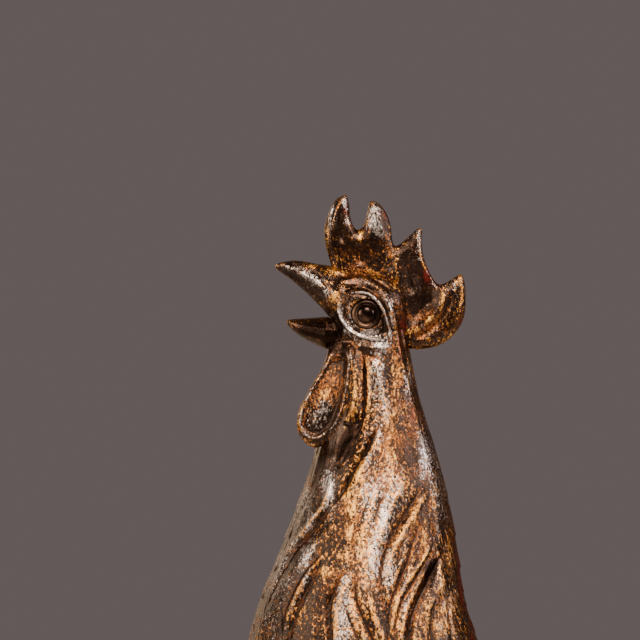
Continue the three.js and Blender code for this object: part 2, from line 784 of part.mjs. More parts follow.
// One leg, from the middle of its foot on the base's top
function leg({ sign }) {
  const shank = limb(
    [[0, 0, 2], [0, 1, 14], [0, hockSetback * 0.45, legHeight * 0.5], [0, hockSetback, legHeight - 4]],
    [shankRadius * 1.15, shankRadius, shankRadius, shankRadius * 1.1, hockRadius],
    { steps: 9, sides: 10 },
  );
  const toe = (degrees, length) => {
    const turn = new THREE.Matrix4().makeRotationZ(THREE.MathUtils.degToRad(degrees));
    const points = [0, 0.35, 0.75, 1].map((share, i) => [0, -length * share, toeHeights[i]]);
    return limb(points, [toeRadius * 1.1, toeRadius, toeRadius * 0.8, 0.7], { steps: 6, sides: 8 })
      .applyMatrix4(turn);
  };
  const spur = limb(
    [[-sign * 2, spurHeight * 0.15, spurHeight], [-sign * 4, spurHeight * 0.15 + spurLength, spurHeight + 4]],
    [2.6, 1.8, 0.5], { steps: 3, sides: 6 },
  );
  const collar = barZ(hockRadius, legHeight - 6, legHeight, [0, hockSetback], 20);
  const tenon = barZ(tenonRadius, legHeight - 1, legHeight + tenonLength, [0, hockSetback]);
  const tang = barZ(tangRadius, -tangLength, 1, [0, 0]);
  const toes = [-toeSpreadDegrees, 0, toeSpreadDegrees].map((degrees) => toe(degrees, toeLength));
  const grown = joined(...[shank, ...toes, toe(180 - sign * 8, hindToeLength), spur, collar].map(solid))
    .intersect(block([-far, far], [-far, far], [0, far]));
  const pinHeight = legHeight + seatGap + thighPinHeight;
  return geometryOf(cutBy(
    joined(grown, solid(tenon), solid(tang)),
    solid(barZ(bore(boltRadius), -tangLength - 1, boltHold - tangLength, [0, 0])),
    solid(barX(bore(thighPinRadius), -far, far, [hockSetback, pinHeight])),
  ));
}

// Oval base: a turned profile, stretched along Y
function basePlate() {
  const rim = baseWidth / 2;
  const profile = new THREE.Path();
  profile.moveTo(0, 0);
  profile.lineTo(rim, 0);
  profile.lineTo(rim, baseFootHeight);
  profile.lineTo(rim - baseStep, baseFootHeight);
  profile.quadraticCurveTo(rim - baseStep, baseThickness, rim - baseTopInset, baseThickness);
  profile.lineTo(0, baseThickness);
  const turned = new THREE.LatheGeometry(profile.getPoints(4), 48).rotateX(Math.PI / 2);
  const oval = solid(turned.scale(1, baseLength / baseWidth, 1));
  const holes = flanks.flatMap(({ sign }) => {
    const place = [legSpread * sign, footPlace];
    return [
      solid(barZ(bore(tangRadius), baseThickness - tangLength - seatGap, baseThickness + 1, place)),
      solid(barZ(bore(boltRadius), -1, baseThickness, place)),
      solid(barZ(bore(washerRadius), -1, boltRecessDepth, place)),
    ];
  });
  return geometryOf(cutBy(oval, ...holes));
}

function feltPad() {
  const rim = baseWidth / 2 - feltMargin;
  const pad = new THREE.CylinderGeometry(rim, rim, feltThickness, 48).rotateX(Math.PI / 2);
  const stretch = (baseLength / 2 - feltMargin) / rim;
  return pad.scale(1, stretch, 1).translate(0, 0, feltThickness / 2);
}

// A washer about +Z, standing on z = 0
function washer() {
  const [inner, outer] = [boltRadius + fitGap, washerRadius];
  const corners = [[inner, 0], [outer, 0], [outer, washerThickness], [inner, washerThickness], [inner, 0]];
  const points = corners.map(([r, z]) => new THREE.Vector2(r, z));
  return new THREE.LatheGeometry(points, smallSides).rotateX(Math.PI / 2);
}

// A hexagon bolt about +Z, its head's upper face at z = 0
function legBolt(shankLength) {
  const head = barZ(boltHeadAcross / Math.sqrt(3), -boltHeadHeight, 0, [0, 0], 6);
  return geometryOf(joined(solid(head), solid(barZ(boltRadius, -0.5, shankLength, [0, 0]))));
}

// Assembly
const cockerel = new THREE.Group();
const base = new THREE.Group();
const baseBottom = feltThickness + seatGap;
base.position.z = baseBottom;
cockerel.add(piece('felt_pad', feltPad(), felt.color, felt), base);
base.add(piece('base_plate', basePlate(), bronze.dark));

const footing = new THREE.Group();
footing.position.z = baseThickness + seatGap;
base.add(footing);
const washerTop = boltRecessDepth - seatGap;
const boltTop = washerTop - washerThickness - seatGap;
const boltLength = baseThickness + seatGap - tangLength + boltHold - seatGap - boltTop;
for (const flank of flanks) {
  const x = legSpread * flank.sign;
  const legMesh = piece(`${flank.name}_leg`, leg(flank), bronze.brown);
  legMesh.position.set(x, footPlace, 0);
  footing.add(legMesh);
  const washerMesh = piece(`${flank.name}_leg_washer`, washer(), steel.color, steel);
  washerMesh.position.set(x, footPlace, washerTop - washerThickness);
  const boltMesh = piece(`${flank.name}_leg_bolt`, legBolt(boltLength), steel.color, steel);
  boltMesh.position.set(x, footPlace, boltTop);
  base.add(washerMesh, boltMesh);
}

const bird = new THREE.Group();
bird.position.z = legHeight + seatGap;
footing.add(bird);
bird.add(piece('body', body(), bronze.brown));
const wingGeometry = wing();
for (const flank of flanks) {
  bird.add(piece(`${flank.name}_wing`, onFlank(flank, wingGeometry), bronze.brown));
  for (const [name, place] of Object.entries(wingScrewPlaces)) {
    const screw = onFlank(flank, wingScrew(place));
    bird.add(piece(`${flank.name}_wing_screw_${name}`, screw, bronze.gilt));
  }
}

// A plain pin, its middle at the origin and its length along X
function pin(radius, length) {
  return barX(radius, -length / 2, length / 2, [0, 0]);
}

const thighSides = sideReach(geometryOf(thigh(flanks[0])), [thighPlace, thighPinHeight]);
const thighPinLength = 2 * (thighSides - legSpread);
for (const flank of flanks) {
  const thighPin = piece(`${flank.name}_thigh_pin`, pin(thighPinRadius, thighPinLength), bronze.gilt);
  thighPin.position.set(legSpread * flank.sign, thighPlace, thighPinHeight);
  const neckPin = piece(`neck_pin_${flank.name}`, pin(seamPinRadius, seamPinLength), bronze.gilt);
  neckPin.position.set(flank.sign * (neckPinSide - seamPinLength / 2), ...neckPinPlace);
  const tailPin = piece(`tail_pin_${flank.name}`, pin(seamPinRadius, seamPinLength), bronze.gilt);
  tailPin.position.set(flank.sign * (tailPinSide - seamPinLength / 2), ...tailPinPlace);
  bird.add(thighPin, neckPin, tailPin);
}
const backPin = piece('neck_pin_back', pin(seamPinRadius, seamPinLength), bronze.gilt);
backPin.rotation.z = Math.PI / 2;
backPin.position.set(0, neckBack - seamPinLength / 2, neckPinHeight);
bird.add(backPin);

bird.add(piece('tail_root', tailRoot(), bronze.brown));
for (const { kind, name, flank } of feathers) {
  bird.add(piece(name, onFlank(flank, feather(kind, 0)), bronze.dark));
}

const head = new THREE.Group();
head.position.set(0, ...eyePlace);
bird.add(head);
head.add(
  piece('head_and_neck', headAndNeck(), bronze.brown),
  piece('lower_beak', lowerBeak(), bronze.dark),
  piece('comb', comb(), bronze.brown),
);
const wattleGeometry = wattle();
for (const flank of flanks) {
  head.add(piece(`${flank.name}_wattle`, onFlank(flank, wattleGeometry), bronze.grey));
  const eyeMesh = piece(`${flank.name}_eye`, eye(), bronze.dark, { roughness: 0.25 });
  eyeMesh.position.x = flank.sign * (eyeSide + seatGap);
  eyeMesh.rotation.y = flank.sign > 0 ? 0 : Math.PI;
  head.add(eyeMesh);
}
for (const { name, place, span: [start, end] } of headPins) {
  const mesh = piece(name, pin(headPinRadius, end - start), bronze.gilt);
  mesh.position.set((start + end) / 2, ...place);
  head.add(mesh);
}

export default cockerel;
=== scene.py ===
"""Looks of a cast bronze cockerel: sculpted skins over the fixed frame, patina, studio and camera.

The frame is in metres. Sizes here are in millimetres, except where a line says metres. Points of the head and
neck are given as pixels of the photograph, (across, down), which is a side view at half a millimetre a pixel.
"""
import math

import bmesh
import bpy
import numpy as np
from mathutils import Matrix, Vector, noise as field
from mathutils.bvhtree import BVHTree


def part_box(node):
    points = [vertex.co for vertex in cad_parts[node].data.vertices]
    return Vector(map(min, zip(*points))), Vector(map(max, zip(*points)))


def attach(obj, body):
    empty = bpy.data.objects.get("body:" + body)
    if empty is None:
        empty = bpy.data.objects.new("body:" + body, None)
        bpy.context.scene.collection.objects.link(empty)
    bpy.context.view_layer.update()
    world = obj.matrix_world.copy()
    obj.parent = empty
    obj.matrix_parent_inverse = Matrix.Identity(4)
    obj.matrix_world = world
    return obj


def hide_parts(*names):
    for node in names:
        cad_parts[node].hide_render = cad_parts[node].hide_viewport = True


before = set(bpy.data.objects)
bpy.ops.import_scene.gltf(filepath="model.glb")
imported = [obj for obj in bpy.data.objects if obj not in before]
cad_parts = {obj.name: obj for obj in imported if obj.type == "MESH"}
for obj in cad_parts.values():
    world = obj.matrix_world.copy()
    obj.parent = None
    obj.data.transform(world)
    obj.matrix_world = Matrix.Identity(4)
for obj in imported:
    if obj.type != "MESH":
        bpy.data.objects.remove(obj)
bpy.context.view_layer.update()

MM = 0.001
PIXEL = 0.5  # millimetres a pixel
PHOTO_SIDE = 640
EYE_PIXEL = (366.0, 314.0)


def box_mm(node):
    low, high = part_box(node)
    return np.array(low) / MM, np.array(high) / MM


eye_low, eye_high = box_mm("left_eye")
EYE = ((eye_low + eye_high) / 2)[1:]


def from_pixels(points):
    """Photograph pixels as (y, z) in millimetres."""
    p = np.array(points, float)
    return np.stack([EYE[0] + (p[..., 0] - EYE_PIXEL[0]) * PIXEL,
                     EYE[1] + (EYE_PIXEL[1] - p[..., 1]) * PIXEL], -1)


def to_pixels(co):
    """Points in millimetres as photograph pixels of the side view."""
    return np.stack([EYE_PIXEL[0] + (co[:, 1] - EYE[0]) / PIXEL,
                     EYE_PIXEL[1] - (co[:, 2] - EYE[1]) / PIXEL], -1)


# Small maths

def ease(x, low=0.0, high=1.0):
    """0 below low, 1 above high, smooth between."""
    t = np.clip((x - low) / (high - low), 0, 1)
    return t * t * (3 - 2 * t)


def spline(points, step):
    """A smooth run through the points, with a new point every step or so."""
    p = np.array(points, float)
    p = np.vstack([2 * p[0] - p[1], p, 2 * p[-1] - p[-2]])
    runs = []
    for a, b, c, d in zip(p[:-3], p[1:-2], p[2:-1], p[3:]):
        count = max(2, int(np.linalg.norm(c - b) / step))
        t = np.linspace(0, 1, count, endpoint=False)[:, None]
        cubic = 2 * b + (c - a) * t + (2 * a - 5 * b + 4 * c - d) * t**2 + (3 * b - a - 3 * c + d) * t**3
        runs.append(cubic / 2)
    return np.vstack([*runs, p[-2:-1]])


def to_line(points, line):
    """For each point: its distance to the line, the side it lies on, and its share of the line's length."""
    a, ab = line[:-1], np.diff(line, axis=0)
    lengths = np.linalg.norm(ab, axis=1)
    start = np.concatenate([[0], np.cumsum(lengths)])
    ap = points[:, None, :] - a[None]
    t = np.clip((ap * ab).sum(2) / np.maximum(lengths**2, 1e-9), 0, 1)
    d2 = ((ap - t[..., None] * ab) ** 2).sum(2)
    k = d2.argmin(1)
    row = np.arange(len(points))
    cross = ab[k, 0] * ap[row, k, 1] - ab[k, 1] * ap[row, k, 0]
    share = (start[k] + t[row, k] * lengths[k]) / start[-1]
    return np.sqrt(d2[row, k]), np.sign(cross), share


def inside(points, polygon):
    """Which points lie in a closed polygon."""
    x, y = points[:, 0], points[:, 1]
    result = np.zeros(len(points), bool)
    for (x0, y0), (x1, y1) in zip(polygon, np.roll(polygon, -1, axis=0)):
        crosses = (y0 > y) != (y1 > y)
        at = x0 + (y - y0) * (x1 - x0) / np.where(y1 == y0, 1e-9, y1 - y0)
        result ^= crosses & (x < at)
    return result


HASH_WEIGHTS = (12.9898, 78.233, 37.719)
HASH_SCALE = 43758.5453


def hashed(*whole):
    """A fixed value from 0 to 1 for each set of whole numbers."""
    total = sum(np.asarray(w) * k for w, k in zip(whole, HASH_WEIGHTS))
    return np.mod(np.abs(np.sin(total) * HASH_SCALE), 1)


def turns(count):
    """Angles set evenly round a full turn."""
    return np.linspace(0, 2 * math.pi, count, endpoint=False)


# Meshes

SMOOTH_STEP = 0.6  # share of the way to the mean of its neighbours that a point goes in one pass
PUSH_BACK = 0.62  # share of the way that it then comes back, so that the form keeps its size
FINE = (4, 0.12)  # smoothing passes, and the height in millimetres that counts as 1
BROAD = (40, 0.7)
GRADE_STEP = 3.0  # faces are parted at steps of this height before they're stretched, to stay straight
GRADE_ROWS = 400


class Sculpt:
    """A mesh held as arrays in millimetres while it's being shaped."""

    def __init__(self, mesh):
        self.mesh = mesh
        self.co = np.zeros(len(mesh.vertices) * 3)
        mesh.vertices.foreach_get("co", self.co)
        self.co = self.co.reshape(-1, 3) / MM
        edges = np.zeros(len(mesh.edges) * 2, np.int64)
        mesh.edges.foreach_get("vertices", edges)
        self.edges = edges.reshape(-1, 2)
        count = np.bincount(self.edges.ravel(), minlength=len(self.co))
        self.neighbours = np.maximum(count, 1)[:, None]

    def averaged(self, values):
        """Each point's value replaced by the mean of its neighbours'."""
        a, b = self.edges.T
        both, other = np.concatenate([a, b]), np.concatenate([b, a])
        sums = [np.bincount(both, values[other, k], len(values)) for k in range(values.shape[1])]
        return np.stack(sums, 1) / self.neighbours

    def smooth(self, times, where=1.0):
        """Smooths the surface and pushes it back out after each pass."""
        where = np.broadcast_to(np.asarray(where, float), len(self.co))[:, None]
        for _ in range(times):
            self.co += where * SMOOTH_STEP * (self.averaged(self.co) - self.co)
            self.co -= where * PUSH_BACK * (self.averaged(self.co) - self.co)

    def normals(self):
        self.write()
        n = np.zeros(len(self.co) * 3, np.float32)
        self.mesh.vertices.foreach_get("normal", n)
        return n.reshape(-1, 3).astype(float)

    def push(self, amount, normals):
        """Moves each point out along its normal."""
        self.co += normals * amount[:, None]

    def write(self):
        self.mesh.vertices.foreach_set("co", (self.co * MM).astype(np.float32).ravel())
        self.mesh.update()

    def relief(self, passes):
        """How far each point stands over the surface smoothed by that many passes."""
        smooth = self.co.copy()
        for _ in range(passes):
            smooth += SMOOTH_STEP * (self.averaged(smooth) - smooth)
        return ((self.co - smooth) * self.normals()).sum(1)

    def attribute(self, name, values):
        made = self.mesh.attributes.new(name, "FLOAT", "POINT")
        made.data.foreach_set("value", np.asarray(values, np.float32))


class Grade:
    """Stretches space with height, so that one voxel size gives a finer mesh higher up."""

    def __init__(self, middle_y, heights, scales):
        self.middle_y = middle_y
        self.z = np.linspace(heights[0], heights[-1], GRADE_ROWS)
        self.scale = np.interp(self.z, heights, scales)
        rise = np.diff(self.z) * (self.scale[1:] + self.scale[:-1]) / 2
        self.stretched = np.concatenate([[0], np.cumsum(rise)])

    def forward(self, co):
        s = np.interp(co[:, 2], self.z, self.scale)
        z = np.interp(co[:, 2], self.z, self.stretched)
        return np.stack([co[:, 0] * s, (co[:, 1] - self.middle_y) * s, z], 1)

    def back(self, co):
        z = np.interp(co[:, 2], self.stretched, self.z)
        s = np.interp(z, self.z, self.scale)
        return np.stack([co[:, 0] / s, co[:, 1] / s + self.middle_y, z], 1)


def link(name, mesh):
    made = bpy.data.objects.new(name, mesh)
    bpy.context.scene.collection.objects.link(made)
    return made


def mesh_of(name, bm):
    """Turns a bmesh into a mesh and frees it."""
    mesh = bpy.data.meshes.new(name)
    bm.to_mesh(mesh)
    bm.free()
    return mesh


def tube(name, rows, split_ends=False):
    """A closed mesh through rings of points in metres, with a face over each end."""
    bm = bmesh.new()
    rings = [[bm.verts.new(p) for p in row] for row in rows]
    for lower, upper in zip(rings, rings[1:]):
        for k, corner in enumerate(lower):
            beside = (k + 1) % len(lower)
            bm.faces.new((corner, lower[beside], upper[beside], upper[k]))
    bm.faces.new(rings[0][::-1])
    bm.faces.new(rings[-1])
    bmesh.ops.recalc_face_normals(bm, faces=bm.faces)
    if split_ends:
        bmesh.ops.triangulate(bm, faces=[f for f in bm.faces if len(f.verts) > 4])
    return Sculpt(mesh_of(name, bm))


def solid(node, cuts=(), grown=0.0, plug=0.0):
    """A CAD node in bmesh, cut by planes (point, outward normal) and closed over each cut. Grown moves its
    faces outwards; plug lengthens it straight down by that much from the last cut."""
    bm = bmesh.new()
    bm.from_mesh(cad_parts[node].data)
    bmesh.ops.remove_doubles(bm, verts=bm.verts, dist=1e-6)
    for point, normal in cuts:
        parts = bm.verts[:] + bm.edges[:] + bm.faces[:]
        bmesh.ops.bisect_plane(bm, geom=parts, plane_co=Vector(point) * MM, plane_no=normal, clear_outer=True)
        rim = [e for e in bm.edges if e.is_boundary]
        lid = bmesh.ops.holes_fill(bm, edges=rim, sides=0)["faces"]
    if plug:
        made = bmesh.ops.extrude_face_region(bm, geom=lid)["geom"]
        for v in made:
            if isinstance(v, bmesh.types.BMVert):
                v.co.z -= plug * MM
    if grown:
        bm.normal_update()
        for v in bm.verts:
            v.co += v.normal * grown * MM
    bmesh.ops.triangulate(bm, faces=bm.faces)
    return bm


def remeshed(name, parts, voxel, grade=None):
    """One closed, even skin round bmesh parts. Closed hollows inside are filled."""
    whole = bmesh.new()
    for part in parts:
        scratch = mesh_of("scratch", part)
        whole.from_mesh(scratch)
        bpy.data.meshes.remove(scratch)
    if grade:
        for z in np.arange(grade.z[0], grade.z[-1], GRADE_STEP):
            every = whole.verts[:] + whole.edges[:] + whole.faces[:]
            bmesh.ops.bisect_plane(whole, geom=every, plane_co=(0, 0, z * MM), plane_no=(0, 0, 1))
        co = grade.forward(np.array([v.co for v in whole.verts]) / MM) * MM
        for v, p in zip(whole.verts, co):
            v.co = p
    holder = link("holder", mesh_of("source", whole))
    remesh = holder.modifiers.new("remesh", "REMESH")
    remesh.mode = "VOXEL"
    remesh.voxel_size = voxel * MM
    seen = holder.evaluated_get(bpy.context.evaluated_depsgraph_get())
    mesh = bpy.data.meshes.new_from_object(seen)
    mesh.name = name
    bpy.data.objects.remove(holder)
    sculpt = Sculpt(mesh)
    if grade:
        sculpt.co = grade.back(sculpt.co)
    return sculpt


def distance_to(co, nodes, reach):
    """How far each point is from CAD nodes, up to reach."""
    distance = np.full(len(co), float(reach))
    for node in nodes:
        low, high = box_mm(node)
        near = np.flatnonzero(((co > low - reach) & (co < high + reach)).all(1))
        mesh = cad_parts[node].data
        tree = BVHTree.FromPolygons([v.co[:] for v in mesh.vertices], [p.vertices[:] for p in mesh.polygons])
        for i in near:
            found = tree.find_nearest(co[i] * MM, reach * MM)[3]
            if found is not None:
                distance[i] = min(distance[i], found / MM)
    return distance


def described(sculpt):
    """Writes a sculpted mesh, with how far each point stands out over its surroundings for the material."""
    sculpt.write()
    for name, (passes, height) in (("fine", FINE), ("broad", BROAD)):
        sculpt.attribute(name, np.clip(sculpt.relief(passes) / height, -1, 1))
    return sculpt.mesh


def placed(mesh, name, node, material):
    """Puts a mesh in the scene in place of a CAD node, riding on the one body."""
    mesh.polygons.foreach_set("use_smooth", np.ones(len(mesh.polygons), bool))
    mesh.materials.clear()
    mesh.materials.append(material)
    made = link(name, mesh)
    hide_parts(node)
    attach(made, "root")


def bronzed(sculpt, name, node, **more):
    """Puts a sculpted mesh in the scene in patinated bronze; painted() says what more is."""
    placed(described(painted(sculpt, **more)), name, node, bronze)


def parted(mesh, name, planes, within):
    """Parts a closed mesh along planes (point, normal, where). Returns the part within and the rest, each
    closed and shaded as the whole was."""
    normals = np.zeros(len(mesh.vertices) * 3, np.float32)
    mesh.vertices.foreach_get("normal", normals)
    kept = mesh.attributes.new("whole_normal", "FLOAT_VECTOR", "POINT")
    kept.data.foreach_set("vector", normals)
    bm = bmesh.new()
    bm.from_mesh(mesh)
    for point, normal, where in planes:
        faces = [f for f in bm.faces if where(f.calc_center_median() / MM)]
        edges = {e for f in faces for e in f.edges}
        verts = {v for f in faces for v in f.verts}
        near = [*verts, *edges, *faces]
        bmesh.ops.bisect_plane(bm, geom=near, plane_co=Vector(point) * MM, plane_no=normal)
    made = []
    for keep in (True, False):
        half = bm.copy()
        away = [f for f in half.faces if within(f.calc_center_median() / MM) != keep]
        bmesh.ops.delete(half, geom=away, context="FACES")
        bmesh.ops.holes_fill(half, edges=[e for e in half.edges if e.is_boundary], sides=0)
        bmesh.ops.triangulate(half, faces=[f for f in half.faces if len(f.verts) > 4])
        part = mesh_of(name if keep else mesh.name, half)
        kept = np.zeros(len(part.vertices) * 3, np.float32)
        part.attributes["whole_normal"].data.foreach_get("vector", kept)
        part.attributes.remove(part.attributes["whole_normal"])
        part.polygons.foreach_set("use_smooth", np.ones(len(part.polygons), bool))
        part.normals_split_custom_set_from_vertices(kept.reshape(-1, 3).tolist())
        made.append(part)
    bm.free()
    bpy.data.meshes.remove(mesh)
    return made


# Relief drawn on the side view

LINE_STEP = 3  # pixels
LINE_REACH = 2.6  # half widths, beyond which a line adds nothing
LINE_TAPER = (-0.04, 0.22)  # shares of a line's length between which its ends come in
CREASE_REACH = 9
CREASE_TAPER = (-0.03, 0.25)
CREASE_DEEPENED = 1.25  # makes up for what smoothing takes away
CREASE_ROUND = 0.4  # pixels, at its bottom
LOCK_RISE = 0.8  # pixels on each side of a crease over which the lock beside it comes up
LOCK_FALL = 4.5  # crease widths over which it goes down again


def near_line(pixels, line, reach):
    """Which pixels lie in the line's box, widened by the reach."""
    return ((pixels > line.min(0) - reach) & (pixels < line.max(0) + reach)).all(1)


def carve(pixels, lines):
    """Height at each pixel from lines of (height, half width, points). The ends of a line taper off."""
    total = np.zeros(len(pixels))
    for height, width, points in lines:
        line = spline(points, LINE_STEP)
        near = near_line(pixels, line, LINE_REACH * width)
        if not near.any():
            continue
        d, _, share = to_line(pixels[near], line)
        taper = ease(np.minimum(share, 1 - share), *LINE_TAPER)
        total[near] += height * taper * np.exp(-(d / width) ** 2)
    return total


def creased(pixels, lines):
    """Height at each pixel from sharp creases of (depth, width, lift, points), drawn downwards. The lock to
    the crease's right stands higher by the lift; with a negative lift it's the lock to its left."""
    total = np.zeros(len(pixels))
    for depth, width, lift, points in lines:
        line = spline(points, LINE_STEP)
        near = near_line(pixels, line, CREASE_REACH * width)
        if not near.any():
            continue
        d, side, share = to_line(pixels[near], line)
        taper = ease(np.minimum(share, 1 - share), *CREASE_TAPER)
        beyond = -d * side * math.copysign(1, lift)
        lock = ease(beyond, -LOCK_RISE, LOCK_RISE) * np.exp(-np.maximum(beyond, 0) / (LOCK_FALL * width))
        cleft = CREASE_DEEPENED * depth * np.exp(-np.hypot(d, CREASE_ROUND) / width)
        total[near] += taper * (abs(lift) * lock - cleft)
    return total


EYELIDS = [
    (1.3, 1.4, [(341, 298), (338.8, 304), (338.6, 310.5), (342, 319.5), (347.5, 327.5), (353, 332),
                (361, 336), (369, 338.5), (378, 339.5), (387, 341)]),
    (1.3, 1.3, [(349, 294), (357.3, 292.3), (365.4, 293.4), (373.4, 297.6), (380.5, 305.6), (385, 315),
                (388, 325), (390, 336), (390, 346)]),
]
HEAD_LINES = [
    # the hollows inside the eyelids, and the ring round the eye
    (-1.0, 3.4, [(346, 302), (344.5, 311), (347.5, 320.5), (354.5, 329)]),
    (-1.0, 3.2, [(381, 312), (384.5, 321), (385, 331), (378, 336)]),
    (0.5, 1.2, [(354, 299), (349.8, 306.5), (348.6, 315), (352, 322.6), (360, 328.4), (369, 330)]),
    # ridge behind the eye, running down the neck, and a groove on each side
    (1.2, 3.2, [(376, 291), (382.3, 297), (388, 307), (391.5, 317), (394.5, 327), (397, 342), (400, 360),
                (404, 378), (411, 398)]),
    (-0.8, 1.8, [(371, 292), (379, 299), (385.5, 309), (389, 320), (392, 333)]),
    (-0.8, 3.0, [(394, 300), (398.5, 314), (401.5, 330), (405, 350)]),
    # brow: the band under the comb, a groove, a fold, and the hollow over the lid
    (0.9, 3.6, [(329, 267), (337, 271.5), (346, 270), (358, 270.6), (371.6, 273.5), (385, 277.5),
                (394, 284)]),
    (-0.5, 1.9, [(339, 278), (350, 275.4), (362, 275.4), (374, 279.6), (386, 287.5), (392, 296)]),
    (0.8, 3.0, [(335, 289), (341, 283), (349.3, 280), (362.7, 279.6), (376, 286), (385, 295), (390, 304)]),
    (-0.9, 2.3, [(342, 292), (350, 287.4), (361, 286.4), (371, 290), (379, 297)]),
    # cheek, and the crease from the mouth
    (0.8, 5.0, [(352, 344), (366, 347), (380, 347), (389, 352)]),
    (-0.6, 3.0, [(345, 337), (354, 345), (366, 354), (380, 360)]),
    (-0.6, 2.2, [(329, 309), (334.5, 315), (338, 324), (343, 332)]),
    # upper beak: its bright edge, the hollow side below it, and the nostril
    (0.9, 2.8, [(274, 265), (283, 265), (291, 268.6), (300, 273), (310, 277.5), (318, 283), (324.3, 290),
                (329.6, 297), (336, 305)]),
    (-1.3, 3.2, [(280, 270.5), (291, 276), (300, 282), (309, 289.5), (317, 298), (326, 306)]),
    (-0.5, 1.8, [(310, 269.5), (316, 272.5), (321.5, 278)]),
    (0.5, 2.6, [(323, 273), (328, 281), (333, 291), (338, 299)]),
]

THROAT_LINES = [
    # rolled lobe behind the wattle, and its ledge
    (2.0, 4.6, [(355, 349), (356, 365), (356, 382), (355, 400), (352, 413), (348, 423)]),
    (-0.6, 1.6, [(343, 421), (350, 424), (357.5, 421)]),
    # long ridge of the neck's side
    (0.7, 5.0, [(376, 352), (378, 372), (382, 390), (385.5, 404), (384, 418), (378, 433), (371, 446),
                (364, 459)]),
    (-0.9, 4.0, [(352, 436), (347, 446), (341, 458), (335, 468)]),
    # the front's sharp ridge, and smooth locks
    (1.0, 2.3, [(332, 470), (329.8, 483), (326.5, 496), (321.5, 507), (313, 518.5), (306, 528),
                (297, 538.5), (288, 550), (280, 564)]),
    (0.9, 5.5, [(338, 520), (326, 532), (314, 545), (303, 558), (293, 573), (284, 592)]),
    (0.8, 2.4, [(326, 546), (319, 558), (310.5, 568.5), (302.5, 581), (295.5, 596), (289.5, 611),
                (284, 630)]),
    (0.6, 3.6, [(405, 463), (399.5, 487), (393.5, 499), (388, 512), (382, 527), (378, 546)]),
    (0.6, 3.6, [(378, 483), (370, 506), (363, 525), (358, 545), (355, 562)]),
    (0.7, 2.6, [(354, 567), (348.5, 577), (342, 590), (338, 603), (336, 616), (335, 640), (335, 675)]),
    (0.7, 3.0, [(366.5, 590), (370.5, 603), (376, 619), (381.5, 633), (385, 650), (388, 678)]),
    (0.7, 2.6, [(427, 487), (420.5, 499), (413.5, 512.5), (406, 524), (399, 535.7), (392.5, 547),
                (387.5, 561)]),
    (0.5, 2.6, [(406, 532), (403.5, 546), (400, 562), (395, 575), (390.5, 589)]),
    (0.9, 1.8, [(431, 538), (425, 551), (418, 562), (411.6, 571.4), (405.4, 580.4), (400, 590),
                (395, 602.7), (392, 614), (390.5, 628)]),
    (1.0, 2.2, [(425, 563), (417, 580.5), (411.3, 591.5), (406.2, 603.5), (403.2, 614.5), (401, 626),
                (400, 640)]),
    (0.6, 5.0, [(450, 568), (440, 584), (432, 598), (427, 612), (424, 628), (423, 650)]),
    # back of the neck
    (0.7, 4.4, [(406, 380), (412, 402), (419.5, 425), (426.5, 450), (432.5, 475), (438, 502), (443, 530)]),
]

CREASES = [
    # throat
    (2.4, 3.0, 0.5, [(363, 350), (364.5, 368), (365, 390), (364, 408), (361, 423), (354, 438)]),
    (2.1, 2.2, 0.9, [(381, 420), (373.5, 437), (367, 449), (359.5, 460.5), (353.5, 470), (347.5, 482),
                     (340.5, 493), (331, 505)]),
    (0.7, 2.6, 0.3, [(399, 388), (405, 412), (411, 436), (416, 458), (420, 480)]),
    # front
    (1.7, 2.6, -0.7, [(333, 498), (324, 512), (315, 524), (306, 534.5), (296.5, 545.5), (288, 559),
                      (281, 575)]),
    (1.3, 2.4, -0.5, [(324, 557), (315.5, 571), (307.5, 584), (300.5, 598), (294, 616), (288.5, 634),
                      (283, 660), (279, 700)]),
    (1.0, 2.2, 0.5, [(294, 550), (287, 562), (280, 576), (273, 592), (266, 608), (259, 628)]),
    (0.6, 2.2, 0.3, [(322, 462), (316, 476), (310, 492), (303, 508), (295, 522), (286, 536)]),
    (0.5, 2.0, 0.3, [(312, 560), (303, 573), (296, 586), (289, 601), (283, 618)]),
    # middle
    (2.0, 3.0, 0.8, [(346, 562), (339.5, 576), (333.5, 589), (329, 601), (328.3, 612), (330, 626),
                     (331, 645), (331, 680), (328, 720)]),
    (1.5, 2.4, 0.7, [(357, 572), (354.8, 586), (357.6, 600), (364, 616), (371, 631), (376.5, 646),
                     (381, 672), (384, 715)]),
    (0.7, 1.8, 0.4, [(345, 592), (346, 606), (351, 620), (358, 634), (364, 650), (368, 680)]),
    (0.7, 2.0, 0.3, [(383.5, 548), (380, 564), (379.3, 580), (382, 594), (385, 610)]),
    (0.5, 2.0, 0.3, [(391, 474), (383, 496), (376, 516), (369, 538), (364, 556)]),
    # back
    (1.8, 2.6, 0.9, [(424, 478), (417, 493), (410, 506), (403.5, 516), (397, 525.5), (390, 537.5),
                     (385, 550), (382, 564), (380.3, 580)]),
    (1.5, 2.6, 0.9, [(423, 516), (415.5, 532), (410.5, 547), (407, 560), (402, 571), (397, 583), (392, 595),
                     (388.7, 608), (387.5, 625), (388, 650), (390, 700)]),
    (1.0, 1.8, 0.5, [(430, 552), (421, 566), (413, 577.7), (406.7, 588), (400.7, 599), (396.3, 611.6),
                     (394, 625), (394, 645), (396, 690)]),
    (2.4, 3.2, 0.8, [(443, 550), (434, 567), (426, 583), (418.7, 597.5), (414.3, 608), (411.3, 619),
                     (409, 632), (408.5, 655), (411, 710)]),
    (0.9, 2.2, 0.4, [(435, 592), (431, 610), (430, 626), (431, 642), (434, 690)]),
    (0.8, 2.2, 0.4, [(446, 590), (448.5, 612), (450.3, 626), (452.5, 642), (457, 690)]),
    (0.6, 2.4, 0.3, [(431, 512), (434, 528), (440, 545), (448, 562), (455, 584)]),
]


